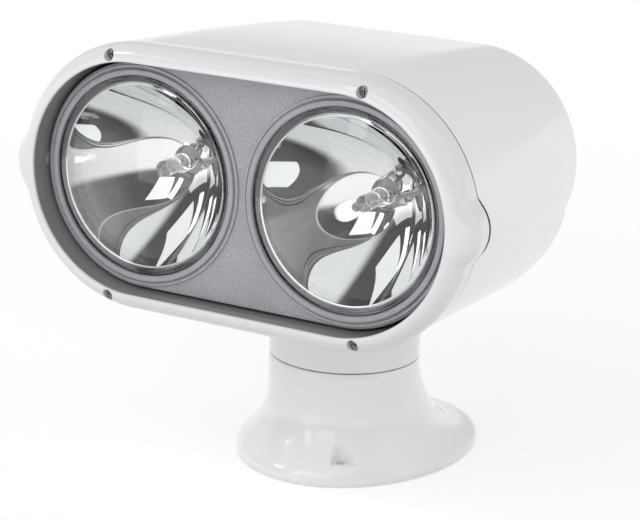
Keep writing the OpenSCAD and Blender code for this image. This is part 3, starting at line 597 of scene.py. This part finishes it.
bezelSizes = {
    "open": 63.8, "crown": 73.6, "back": 72.8, "crownDepth": 11.0, "lip": 1.5, "lipTop": 1.2, "depth": 22.0,
    "wallGap": 0.4, "rollGap": 0.2, "backEdge": 0.5, "followPower": 0.8,
    "grooveIn": 66.4, "grooveOut": 69.8, "grooveDepth": 6.0, "grooveCut": 1.5,
    "bossHeight": 6.0, "bossRadius": 20.0, "bossSpan": 19.0, "blend": 2.4,
    "throatStart": 1.2, "throatMargin": 0.05, "sharp": 50,
    "arcSteps": 150, "straightSteps": 28, "crownSteps": 22, "wallSteps": 8, "rollSteps": 6,
}


def stadiumPath(arcSteps, straightSteps):
    # spine points and outward directions round the two lamp axes, with the polar angle at each end
    half = layout["lampHalf"]
    turn = np.radians(np.linspace(-90, 90, arcSteps + 1))
    run = np.linspace(half, -half, straightSteps + 1)[1:-1]
    flat = np.zeros_like(run)
    spineX = np.concatenate([np.full_like(turn, half), run, np.full_like(turn, -half), run[::-1]])
    dirX = np.concatenate([np.cos(turn), flat, -np.cos(turn), flat])
    dirZ = np.concatenate([np.sin(turn), flat + 1, -np.sin(turn), flat - 1])
    fromEnd = np.concatenate([turn, flat + np.pi / 2, turn, flat + np.pi / 2])
    return spineX, dirX, dirZ, fromEnd


def bossSwell(fromEnd):
    # smooth union of the crown circle with the boss circle, as extra radius at each polar angle
    b = bezelSizes
    offset = b["crown"] + b["bossHeight"] - b["bossRadius"]
    inside = np.clip(b["bossRadius"] ** 2 - (offset * np.sin(fromEnd)) ** 2, 0, None)
    boss = offset * np.cos(fromEnd) + np.sqrt(inside) - b["crown"]
    boss = np.where(np.abs(fromEnd) < np.radians(b["bossSpan"]), boss, -b["bossRadius"])
    k = b["blend"]
    mix = np.clip(0.5 + 0.5 * boss / k, 0, 1)
    return np.clip(mix * boss + k * mix * (1 - mix), 0, None)


def bezelProfile():
    # radius and depth: inner wall, rolled lip, quarter of an ellipse for the crown, outside, groove behind
    # and how far each point follows the boss
    b = bezelSizes
    a = np.radians(np.linspace(0, 90, b["crownSteps"]))
    steps = b["wallSteps"]
    lipEdge = b["open"] + b["lipTop"]
    crown = beside(lipEdge + (b["crown"] - lipEdge) * np.sin(a), b["crownDepth"] * (1 - np.cos(a)))
    wall = beside(b["open"], np.linspace(b["depth"], b["lip"] + b["wallGap"], steps))
    roll = bezierPoints(
        (b["open"], b["lip"]), (b["open"], 0.0), (lipEdge - b["rollGap"], 0.0), b["rollSteps"])
    outside = beside(
        np.linspace(b["crown"], b["back"], steps),
        np.linspace(b["crownDepth"], b["depth"] - b["backEdge"], steps))
    behind = np.array([
        [b["back"] - b["backEdge"], b["depth"]], [b["grooveOut"], b["depth"]],
        [b["grooveOut"], b["grooveDepth"] + b["grooveCut"]],
        [b["grooveOut"] - b["grooveCut"], b["grooveDepth"]],
        [b["grooveIn"], b["grooveDepth"]], [b["grooveIn"], b["depth"]]])
    profile = np.vstack([wall, roll, crown[1:], outside[1:], behind])
    follow = np.clip((profile[:, 0] - lipEdge) / (b["crown"] - lipEdge), 0, 1) ** b["followPower"]
    first = len(profile) - len(behind)
    follow[first] = 1
    follow[first + 1:] = 0
    return profile, follow


spineX, dirX, dirZ, fromEnd = stadiumPath(bezelSizes["arcSteps"], bezelSizes["straightSteps"])
profile, follow = bezelProfile()
radius = profile[:, :1] + follow[:, None] * bossSwell(fromEnd)[None, :]
bezelGrid = toHead(beside(spineX + radius * dirX, profile[:, 1:], radius * dirZ))
bezelMesh = meshFromGrid("bezelRing", bezelGrid, wrapRows=True, sharp=bezelSizes["sharp"])
bezelRing = addPiece(bezelMesh, "head", "bezel_white", "front_bezel")

# bezel screws: recesses in the bezel, and blind posts in the shell behind the seam

recessSizes = {
    "reach": 67.9, "turn": 12.0, "radius": 3.2, "depth": 6.5, "shank": 1.7,
    "front": 2.0, "behind": 1.0, "turnSteps": 40, "sharp": 40,
}
postSizes = {"radius": 3.5, "length": 18.0, "hole": 1.7, "holeDepth": 15.0, "turnSteps": 40, "sharp": 40}


def bezelScrewPlaces():
    r = recessSizes
    turn = math.radians(r["turn"])
    x = layout["lampHalf"] + r["reach"] * math.sin(turn)
    z = r["reach"] * math.cos(turn)
    return [(sx * x, sz * z) for sx in (-1, 1) for sz in (-1, 1)]


def atBezelScrews(name, profile, steps):
    # a profile of (radius, depth) turned about each of the four screws
    parts = [
        meshFromGrid("part", toHead(turnedGrid(profile, (x, 0.0, z), steps)))
        for x, z in bezelScrewPlaces()]
    return joinMeshes(name, parts)


def recessProfile():
    # a flat-floored recess and below it a narrower hole for the shank
    r = recessSizes
    front, floor, end = -r["front"], r["depth"], bezelSizes["depth"] + r["behind"]
    return np.array([
        [0.0, front], [r["radius"], front], [r["radius"], floor],
        [r["shank"], floor], [r["shank"], end], [0.0, end]])


def postProfile():
    # a round post with a blind hole from the front
    p, start = postSizes, shellSizes["start"]
    floor, end = start + p["holeDepth"], start + p["length"]
    return np.array([
        [0.0, floor], [p["hole"], floor], [p["hole"], start],
        [p["radius"], start], [p["radius"], end], [0.0, end]])


recesses = atBezelScrews("recesses", recessProfile(), recessSizes["turnSteps"])
cutAway(bezelRing, recesses, recessSizes["sharp"])
postMesh = atBezelScrews("screwPosts", postProfile(), postSizes["turnSteps"])
finishShading(postMesh, postSizes["sharp"])
addPiece(postMesh, "head", "shell_white")


def headPoints(mesh):
    # the mesh's points in millimetres, as across, back from the lip and up from the lamp axes
    co = np.empty(len(mesh.vertices) * 3, np.float32)
    mesh.vertices.foreach_get("co", co)
    co = co.reshape(-1, 3) / mm
    return co[:, 0], co[:, 1] + layout["lipReach"], co[:, 2] - layout["axisHeight"]


def setMask(mesh, name, values):
    mesh.attributes.new(name, "FLOAT", "POINT").data.foreach_set("value", values.astype(np.float32))


def markThroat(mesh):
    # marks the inner wall of the bezel for its painted shade: points whose distance from the spine is about
    # the opening radius
    x, depth, z = headPoints(mesh)
    r = np.hypot(np.clip(np.abs(x) - layout["lampHalf"], 0, None), z)
    wall = r < bezelSizes["open"] + bezelSizes["throatMargin"]
    setMask(mesh, "throatShade", wall & (depth > bezelSizes["throatStart"]))


markThroat(bezelRing.data)

# seal: a flat ring under the shell's edge that narrows to a black lip where the bosses stand out past the
# shell; that lip is a painted shadow, a dark strip where each boss's edge shades the shell

sealSizes = {
    "inner": 66.6, "under": 0.35, "lip": 1.0, "shadowLipStart": 0.3, "shadowLipRun": 1.2, "shadowLipFull": 0.99,
    "front": 22.02, "back": 22.78, "bossBack": 23.3, "bossStart": 0.8, "sharp": 50,
}


def sealGrid():
    # a rectangle carried round the stadium: its outer side swells with the boss, its inner side follows, so
    # a narrow black lip shows round each boss as a painted shadow
    s = sealSizes
    swell = bossSwell(fromEnd)
    # the black lip round each boss is a painted shadow line behind the boss
    shadowLipShare = np.clip((swell - s["shadowLipStart"]) / s["shadowLipRun"], 0, 1)
    outer = bezelSizes["back"] - s["under"] + swell
    inner = s["inner"] + shadowLipShare * (outer - s["lip"] - s["inner"])
    front = np.full_like(swell, s["front"])
    outerBack = np.where(swell > s["bossStart"], s["bossBack"], s["back"])
    innerBack = np.where(shadowLipShare > s["shadowLipFull"], s["bossBack"], s["back"])
    radius = np.stack([inner, outer, outer, inner])
    depth = np.stack([front, front, outerBack, innerBack])
    return beside(spineX + radius * dirX, depth, radius * dirZ)


sealMesh = meshFromGrid("seamSeal", toHead(sealGrid()), wrapRows=True, sharp=sealSizes["sharp"])
addPiece(sealMesh, "head", "black_rubber", "bezel_gasket")
print("bezel built")


# lamps: trim ring, glass lens, mirror bowl and quartz burner on each lamp axis

lampSizes = {
    "face": 13.0, "rimRadius": 56.5, "rimFront": 13.2, "rimThick": 5.0, "glass": 3.0,
    "mirrorRadius": 49.5, "mirrorDepth": 45.0, "burnerGap": 1.0, "turnSteps": 144,
}
trimSizes = {
    # radius and rise above the lamp plate: flange, groove, raised band, slope down to the glass
    "corners": [
        (61.0, 0.0), (61.0, 0.9), (59.4, 0.9), (59.2, 0.25), (58.7, 0.25), (58.5, 1.75),
        (57.9, 2.0), (56.0, 2.0), (55.25, 1.5), (55.0, -0.1), (56.9, -0.1), (56.9, 0.0)],
    "round": 0.35, "roundSteps": 4, "sharp": 40,
}
lensSizes = {
    "clear": 55.0, "rise": 11.0, "rings": 3, "ringStart": 50.4, "ringRise": 0.35,
    "rimEdge": 0.4, "rimGap": 0.1, "thin": 1.0, "domeSteps": 110, "innerSteps": 48, "sharp": 50,
}
mirrorSizes = {
    "darkRimStart": 49.6, "darkRimRun": 1.6, "bowlRadius": 52.0, "seat": 9.0, "stem": 6.0,
    "innerSteps": 64, "outerSteps": 48, "sharp": 50,
}
burnerSizes = {
    "radius": 4.6, "length": 25.0, "pinchLength": 9.0, "pinchWidth": 4.6, "pinchThick": 1.6,
    "pressRun": 5.0, "tailGap": 1.0, "noseSteps": 16, "bodySteps": 14, "turnSteps": 40,
}
filamentSizes = {
    "coilRadius": 1.3, "coilFront": 5.0, "coilRun": 9.0, "coilTurns": 9, "legSpread": 3.0, "legBack": 8.0,
    "wire": 0.28, "sides": 8, "coilSteps": 220, "legSteps": 12,
}
holderSizes = {
    "postGap": 1.2, "postBow": 1.6, "postSway": 1.8, "postRun": 20.0, "postFoot": 1.0, "postWire": 0.6,
    "postSteps": 40, "postSides": 12, "bandGap": 0.15, "bandThick": 0.7, "bandWide": 2.2, "bandBack": 3.0,
    "bandRound": 0.2, "roundSteps": 3, "bandSteps": 48, "sharp": 40,
}


def trimProfile():
    # the ring's section with softened corners
    corners = np.array(trimSizes["corners"])
    corners[:, 1] = lampSizes["face"] - corners[:, 1]
    return roundedProfile(corners, trimSizes["round"], trimSizes["roundSteps"])


def domePoints(radius, rise, front, steps):
    # arc of the ball that reaches this radius at this rise
    ball = (radius ** 2 + rise ** 2) / (2 * rise)
    a = np.linspace(0, math.asin(radius / ball), steps)
    return beside(ball * np.sin(a), front + ball * (1 - np.cos(a)))


def lensProfile():
    # outer dome with rolled rings near its edge, flat back just clear of the mirror, inner dome
    s, g = lampSizes, lensSizes
    dome = domePoints(g["clear"], g["rise"], s["rimFront"] - g["rise"], g["domeSteps"])
    along = np.clip((dome[:, 0] - g["ringStart"]) / (g["clear"] - g["ringStart"]), 0, 1)
    dome[:, 1] -= g["ringRise"] * np.abs(np.sin(g["rings"] * np.pi * along))
    back = s["rimFront"] + s["rimThick"] / 2 - g["rimGap"]
    rim = np.array([
        [s["rimRadius"] - g["rimEdge"], s["rimFront"]], [s["rimRadius"], s["rimFront"] + g["rimEdge"]],
        [s["rimRadius"], back], [s["mirrorRadius"], back]])
    inRise = g["rise"] - g["thin"]
    inFront = s["rimFront"] + s["glass"] - g["thin"] - inRise
    inner = domePoints(s["mirrorRadius"], inRise, inFront, g["innerSteps"])[::-1]
    return np.vstack([dome, rim, inner])


def mirrorProfile():
    # parabola from the burner seat to the rim, flat rim, a wider parabola outside and a short stem
    s, m = lampSizes, mirrorSizes
    middle = s["rimFront"] + s["rimThick"] / 2
    back = s["rimFront"] + s["rimThick"]
    stem = back + s["mirrorDepth"] + m["stem"]
    neck, floor = m["seat"] + s["glass"], stem - s["glass"]
    q = np.linspace(m["seat"], s["mirrorRadius"], m["innerSteps"])
    inner = beside(q, middle + s["mirrorDepth"] * (1 - (q / s["mirrorRadius"]) ** 2))
    w = np.linspace(m["bowlRadius"], neck, m["outerSteps"])
    outer = beside(w, back + s["mirrorDepth"] * (1 - (w / m["bowlRadius"]) ** 2))
    rim = np.array([
        [m["darkRimStart"] + m["darkRimRun"], middle], [s["rimRadius"], middle], [s["rimRadius"], back]])
    tail = np.array([[neck, stem], [0.0, stem], [0.0, floor], [m["seat"], floor]])
    return np.vstack([inner, rim, outer, tail])


def burnerEnd():
    # depth at which the burner stands in the mirror's seat
    s = lampSizes
    return s["rimFront"] + s["rimThick"] + s["mirrorDepth"] + s["burnerGap"]


def burnerGrid(centre):
    # round nose, straight body, then the round section presses flat into the pinch:
    # two radii along the axis, the press eased by 3t2 - 2t3
    q, end = burnerSizes, burnerEnd()
    r, pinch, tail = q["radius"], end - q["pinchLength"], end - q["tailGap"]
    front = pinch - q["length"]
    nose = np.radians(np.linspace(0, 90, q["noseSteps"]))
    body = np.linspace(front + r, pinch, q["bodySteps"])[1:]
    press = np.linspace(0, 1, q["bodySteps"])[1:]
    ease = press * press * (3 - 2 * press)
    y = np.concatenate([front + r * (1 - np.cos(nose)), body, pinch + q["pressRun"] * press, [tail, tail]])
    wide, thick = [
        np.concatenate([r * np.sin(nose), np.full(len(body), r), r + (flat - r) * ease, [flat, 0]])
        for flat in (q["pinchWidth"], q["pinchThick"])]
    a = fullTurn(q["turnSteps"])
    x = centre + wide[:, None] * np.cos(a)
    z = thick[:, None] * np.sin(a)
    return beside(x, y[:, None], z)


def filamentPath(centre):
    # a coil along the lamp axis with straight legs back to the pinch
    f, end = filamentSizes, burnerEnd()
    middle = end - burnerSizes["pinchLength"] - burnerSizes["length"] / 2
    t = np.linspace(0, 1, f["coilSteps"])
    turns = f["coilTurns"] * 2 * np.pi * t
    coil = beside(
        centre + f["coilRadius"] * np.cos(turns), middle - f["coilFront"] + f["coilRun"] * t,
        f["coilRadius"] * np.sin(turns))
    foot = end - f["legBack"]
    legA = np.linspace((centre + f["legSpread"], foot, 0.0), (*coil[0, :2], 0.0), f["legSteps"])
    legB = np.linspace((*coil[-1, :2], 0.0), (centre - f["legSpread"], foot, 0.0), f["legSteps"])
    return np.vstack([legA[:-1], coil, legB[1:]])


def supportGrid(centre, side):
    # a wire beside the burner that bows outwards by half a sine and sways up and down by a whole one
    h = holderSizes
    t = np.linspace(0, 1, h["postSteps"])
    out = burnerSizes["radius"] + h["postGap"]
    x = centre + side * (out + h["postBow"] * np.sin(np.pi * t))
    y = burnerEnd() + h["postFoot"] - h["postRun"] * t
    z = h["postSway"] * np.sin(2 * np.pi * t)
    return tubeAlong(beside(x, y, z), h["postWire"], h["postSides"])


def waistBand(centre):
    # a narrow strap round the burner, a small rectangle turned about the lamp axis
    h = holderSizes
    y = burnerEnd() - burnerSizes["pinchLength"] - h["bandBack"]
    r = burnerSizes["radius"] + h["bandGap"]
    out, back = r + h["bandThick"], y + h["bandWide"]
    section = roundedProfile([(r, y), (out, y), (out, back), (r, back)], h["bandRound"], h["roundSteps"])
    return turnedGrid(section, (centre, 0.0, 0.0), h["bandSteps"])


def buildLamp(side, place):
    centre = side * layout["lampHalf"]
    word = place.lower()

    def turned(name, profile, wrapRows, sharp):
        grid = turnedGrid(profile, (centre, 0.0, 0.0), lampSizes["turnSteps"])
        return meshFromGrid(name + place, toHead(grid), wrapRows, sharp)

    trim = turned("trimRing", trimProfile(), True, trimSizes["sharp"])
    addPiece(trim, "lamps", "trim_silver", "trim_ring_" + word)
    lens = turned("lensDome", lensProfile(), False, lensSizes["sharp"])
    addPiece(lens, "lamps", "lens_glass", "lens_" + word)
    bowl = turned("mirrorBowl", mirrorProfile(), True, mirrorSizes["sharp"])
    # marks the ring round the mirror's edge for its painted dark reflection
    x, depth, z = headPoints(bowl)
    darkRimShare = (np.hypot(x - centre, z) - mirrorSizes["darkRimStart"]) / mirrorSizes["darkRimRun"]
    setMask(bowl, "paintedDarkRim", np.clip(darkRimShare, 0, 1))
    addPiece(bowl, "lamps", "lamp_mirror", "mirror_" + word)
    quartz = meshFromGrid("quartzBurner" + place, toHead(burnerGrid(centre)))
    addPiece(quartz, "lamps", "burner_quartz", "burner_" + word)
    wire = tubeAlong(filamentPath(centre), filamentSizes["wire"], filamentSizes["sides"])
    coil = meshFromGrid("filament" + place, toHead(wire))
    addPiece(coil, "lamps", "turned_steel")
    posts = [meshFromGrid("post", toHead(supportGrid(centre, s))) for s in (-1, 1)]
    band = meshFromGrid("band", toHead(waistBand(centre)), True, holderSizes["sharp"])
    wires = joinMeshes("burnerHolder" + place, posts + [band])
    finishShading(wires, holderSizes["sharp"])
    addPiece(wires, "lamps", "turned_steel", finish="bright_wire")


for side, place in ((-1, "Left"), (1, "Right")):
    buildLamp(side, place)
print("lamps built")


# foot: lines from the neck circle down to the oval flange, each a flare and a rounded lip

footSizes = {
    "neck": 44.0, "top": 60.7, "edge": 0.6, "wide": 67.0, "long": 85.0, "back": 20.0,
    "flare": 30.0, "flareRise": 28.0, "sweep": 21.5, "sweepFall": 8.0, "sweepShare": 0.2,
    "shelf": 11.0, "shelfFall": 6.5, "lipRound": 5.0, "lipLow": 2.4, "lipUnder": 0.3,
    "bottom": 1.5, "under": 1.8, "underSlope": 0.6, "skirt": 0.25,
    "blendShare": 0.3, "blendRise": 11.0, "blendLimit": 0.8, "sharp": 45,
    "turnSteps": 256, "neckSteps": 8, "blendSteps": 18, "flareSteps": 60, "lipSteps": 14,
    "innerWall": [(36.5, 60.7), (36.5, 52.0), (16.0, 52.0), (16.0, 42.0), (38.0, 42.0), (38.0, 4.5),
                  (45.3, 4.5), (45.3, 1.5)],
}
pocketSizes = {
    "circle": 56.0, "back": 4.0, "turns": (27.0, 147.0, 267.0),  # from the front, in degrees
    "hole": 2.75, "holeOver": 1.0, "holeSteps": 40,
    "floor": 11.0, "soft": 0.8, "softShare": 0.93, "topDrop": 3.0, "cornerSteps": 10,
    # plan of a pocket, outwards from its screw and across, each corner with its rounding
    "plan": [(-4.2, -2.4, 3.0), (-4.2, 2.2, 2.5), (9.0, 16.5, 1.0), (9.0, -5.3, 1.0), (-1.0, -5.3, 3.0)],
}


def footGrid():
    # lines of (distance out, height) from the neck circle to the oval rim: straight neck, cubic blend,
    # quadratic flare, quadratic lip and underside, the heights leaning with how far the rim stands out
    f = footSizes
    turn = fullTurn(f["turnSteps"])
    start = f["neck"] * beside(np.cos(turn), np.sin(turn))
    rim = beside(f["wide"] * np.cos(turn), f["back"] + f["long"] * np.sin(turn))
    reach = np.linalg.norm(rim - start, axis=1)
    toward = (rim - start) / reach[:, None]
    far = (reach - reach.min()) / (f["long"] + f["back"] - f["neck"] - reach.min())
    lean = far * (2 - far)
    high = beside(0.0, f["flare"] + f["flareRise"] * lean)
    sweep = beside(f["sweepShare"] * reach, f["sweep"] - f["sweepFall"] * lean)
    shelf = beside(reach - f["lipRound"], f["shelf"] - f["shelfFall"] * lean)
    slope = (sweep - shelf)[:, 1] / (shelf - sweep)[:, 0]
    corner = beside(reach, np.maximum(f["lipLow"], shelf[:, 1] - slope * f["lipRound"]))
    low = beside(reach, f["lipLow"])
    share = f["blendShare"]
    t = np.linspace(share, 1, f["flareSteps"])[:, None, None]
    flare = (1 - t) ** 2 * high + 2 * t * (1 - t) * sweep + t * t * shelf
    room = f["top"] - f["edge"] - high[:, 1]
    rise = np.minimum(f["blendRise"] * (1 + lean) / 2, f["blendLimit"] * room)
    upper = high + beside(0.0, rise)
    w = np.linspace(0, 1, f["blendSteps"])[:-1, None, None]
    blend = ((1 - w) ** 3 * upper + 3 * w * (1 - w) ** 2 * high
             + 3 * w * w * (1 - w) * (high + share * (sweep - high)) + w ** 3 * flare[0])
    u = np.linspace(0, 1, f["lipSteps"])[1:, None, None]
    lip = (1 - u) ** 2 * shelf + 2 * u * (1 - u) * corner + u * u * low
    zero = np.zeros_like(reach)
    top = np.stack([beside(zero - f["edge"], f["top"]), beside(zero, f["top"] - f["edge"])])
    v = np.linspace(0, 1, f["neckSteps"])[1:-1, None, None]
    neck = top[1] * (1 - v) + upper * v
    bottom = np.stack([
        beside(reach - f["lipUnder"], f["skirt"]), beside(reach - f["under"], f["skirt"]),
        beside(reach - f["under"] - f["underSlope"], f["bottom"])])
    line = np.concatenate([top, neck, blend, flare, lip, bottom])
    out, height = line[..., 0], line[..., 1]
    outside = beside(start[:, 0] + out * toward[:, 0], start[:, 1] + out * toward[:, 1], height)
    inside = uprightGrid(np.array(f["innerWall"]), f["turnSteps"])[::-1]
    return np.concatenate([outside, inside])


def deckScrews():
    # three even places round the screw circle, each with its outward direction
    p = pocketSizes
    turns = np.radians(np.array(p["turns"]) - 90)
    outward = beside(np.cos(turns), np.sin(turns))
    return [(np.array([0.0, p["back"]]) + p["circle"] * out, out) for out in outward]


def pocketGrid(place, out):
    # the plan of a scoop with a round back, carried straight up from a softened floor
    p = pocketSizes
    plan = np.array(p["plan"])
    outline = roundedProfile(plan[:, :2], plan[:, 2], p["cornerSteps"])
    middle = outline.mean(axis=0)
    share = np.array([0.0, p["softShare"], 1.0, 1.0, 0.0])[:, None, None]
    floor, top = p["floor"], footSizes["top"] - p["topDrop"]
    height = np.array([floor, floor, floor + p["soft"], top, top])
    flat = middle + share * (outline - middle)
    across = np.array([-out[1], out[0]])
    spread = place + flat[..., :1] * out + flat[..., 1:] * across
    return beside(spread[..., 0], spread[..., 1], height[:, None])


def holeGrid(place):
    # a plain round hole from below the deck face up through the pocket's floor
    p = pocketSizes
    low, top = -p["holeOver"], p["floor"] + p["holeOver"]
    profile = np.array([[0.0, low], [p["hole"], low], [p["hole"], top], [0.0, top]])
    return uprightGrid(profile, p["holeSteps"], place)


footMesh = meshFromGrid("deckFoot", footGrid(), wrapRows=True, sharp=footSizes["sharp"])
deckFoot = addPiece(footMesh, "base", "foot_white", "base_pedestal")
pockets = [meshFromGrid("pocket", pocketGrid(place, out)) for place, out in deckScrews()]
cutAway(deckFoot, joinMeshes("pockets", pockets), footSizes["sharp"])
holes = [meshFromGrid("hole", holeGrid(place)) for place, out in deckScrews()]
cutAway(deckFoot, joinMeshes("holes", holes), footSizes["sharp"])
print("foot built")


# studio: pale floor, soft lights, camera at the photograph's angle

cameraFit = {
    "place": (610.7, -1107.6, 479.6), "aim": (56.4, -131.5, 156.1), "roll": 1.84,
    "lens": 128.2, "sensor": 36.0, "farClip": 20.0,
}
softboxes = {  # in metres and watts
    "keyLight": {"place": (-0.5, -1.35, 1.27), "size": (0.3, 0.95), "power": 2.1},
    "sideLight": {"place": (-1.1, -0.85, 1.25), "size": (0.3, 0.3), "power": 2.0},
    "frontLight": {"place": (0.2, -1.295, 1.25), "size": (0.8, 0.95), "power": 2.9},
    "fillLight": {"place": (-0.5, -1.7, 0.2), "size": (0.9, 0.9), "power": 2.2},
    "rimLight": {"place": (1.5, 0.35, 0.95), "size": (0.7, 0.7), "power": 2.2, "highlight": False},
}
lightAim = (0, -0.05, 0.15)
roomTones = {
    "light": 1.0, "zenith": 0.32, "lightSpan": (0.3, 1.0),
    "horizon": 1.0, "ceiling": 0.03, "ceilingSpan": (0.04, 0.24), "back": 0.7, "backSpan": (-0.3, 0.15),
}
paperSizes = {
    "tone": 0.62, "mottle": 0.02, "glow": 0.5, "radius": 1100.0, "drop": 0.15,
    "fadeStart": 0.3, "fadeEnd": 0.99, "rings": 12, "turnSteps": 96,
}


def addCamera():
    camera = bpy.data.cameras.new("photoCamera")
    camera.sensor_width = cameraFit["sensor"]
    camera.sensor_fit = "HORIZONTAL"
    camera.lens = cameraFit["lens"]
    camera.clip_end = cameraFit["farClip"]
    place = Vector(cameraFit["place"]) * mm
    back = (place - Vector(cameraFit["aim"]) * mm).normalized()
    right = Vector((0, 0, 1)).cross(back).normalized()
    up = back.cross(right)
    roll = math.radians(cameraFit["roll"])
    side = right * math.cos(roll) + up * math.sin(roll)
    over = up * math.cos(roll) - right * math.sin(roll)
    holder = addObject("photoCamera", camera)
    turn = Matrix((side, over, back)).transposed()
    holder.matrix_world = Matrix.Translation(place) @ turn.to_4x4()
    bpy.context.scene.camera = holder


def addSoftbox(name, place, size, power, highlight=True):
    light = bpy.data.lights.new(name, "AREA")
    light.shape = "RECTANGLE"
    light.size, light.size_y = size
    light.energy = power
    holder = addObject(name, light)
    away = Vector(place) - Vector(lightAim)
    turn = away.to_track_quat("Z", "Y").to_matrix()
    holder.matrix_world = Matrix.Translation(place) @ turn.to_4x4()
    holder.visible_glossy = highlight


def mixValue(tree, factor, first, second):
    node = tree.nodes.new("ShaderNodeMix")
    tree.links.new(factor, node.inputs[0])
    for place, value in ((2, first), (3, second)):
        if isinstance(value, float):
            node.inputs[place].default_value = value
        else:
            tree.links.new(value, node.inputs[place])
    return node.outputs[0]


def addRoom():
    # soft light for matt surfaces, plain white for the camera, and for shiny ones a white horizon
    # under a dark ceiling, with a pale room at the back
    r = roomTones
    world = bpy.data.worlds.new("room")
    bpy.context.scene.world = world
    world.use_nodes = True
    tree = world.node_tree
    light = tree.nodes["Background"]
    light.inputs["Color"].default_value = (1.0, 1.0, 1.0, 1.0)
    path = tree.nodes.new("ShaderNodeLightPath")
    split = tree.nodes.new("ShaderNodeSeparateXYZ")
    tree.links.new(tree.nodes.new("ShaderNodeTexCoord").outputs["Generated"], split.inputs[0])
    height = split.outputs["Z"]
    ceiling = mapRange(tree, height, r["ceilingSpan"], r["horizon"], r["ceiling"], smooth=True)
    behind = mapRange(tree, split.outputs["Y"], r["backSpan"], 0.0, r["back"], smooth=True)
    soft = mapRange(tree, height, r["lightSpan"], r["light"], r["zenith"])
    mirrored = mathNode(tree, "MAXIMUM", ceiling, behind)
    shiny = mixValue(tree, path.outputs["Is Glossy Ray"], soft, mirrored)
    tree.links.new(mixValue(tree, path.outputs["Is Camera Ray"], shiny, 1.0), light.inputs["Strength"])


def addFloor():
    # a round sheet of paper that fades into the white room away from the foot and isn't seen from below
    p = paperSizes
    material, shader = newMaterial(
        "floorPaper", Roughness=0.9, Specular_IOR_Level=0.1, Emission_Strength=1.0)
    tree = material.node_tree
    grain = placeGroup(material, grainGroup, Scale=6.0, Fine=30.0, Amount=0.2)
    colour = mixColour(material, grain["Tone"], (p["tone"],) * 3, (p["tone"] + p["mottle"],) * 3)
    tree.links.new(colour, shader.inputs["Base Color"])
    path = tree.nodes.new("ShaderNodeLightPath")
    seen = mathNode(tree, "MAXIMUM", path.outputs["Is Camera Ray"], path.outputs["Is Glossy Ray"])
    glow = mixColour(material, seen, (0.0, 0.0, 0.0), (p["glow"],) * 3)
    tree.links.new(glow, shader.inputs["Emission Color"])
    length = tree.nodes.new("ShaderNodeVectorMath")
    length.operation = "LENGTH"
    tree.links.new(tree.nodes.new("ShaderNodeTexCoord").outputs["Object"], length.inputs[0])
    fade = mapRange(tree, length.outputs["Value"], (p["fadeStart"], p["fadeEnd"]), 1.0, 0.0, smooth=True)
    below = tree.nodes.new("ShaderNodeNewGeometry").outputs["Backfacing"]
    tree.links.new(mixValue(tree, below, fade, 0.0), shader.inputs["Alpha"])
    sheet = beside(np.linspace(0.0, p["radius"], p["rings"]), -p["drop"])
    mesh = meshFromGrid("floor", uprightGrid(sheet, p["turnSteps"]))
    mesh.flip_normals()  # an open sheet comes out facing down
    floor = addObject("floor", mesh)
    floor.data.materials.append(material)


addCamera()
for name, box in softboxes.items():
    addSoftbox(name, **box)
addRoom()
addFloor()
bpy.context.scene.view_settings.view_transform = "Standard"
print("studio set")
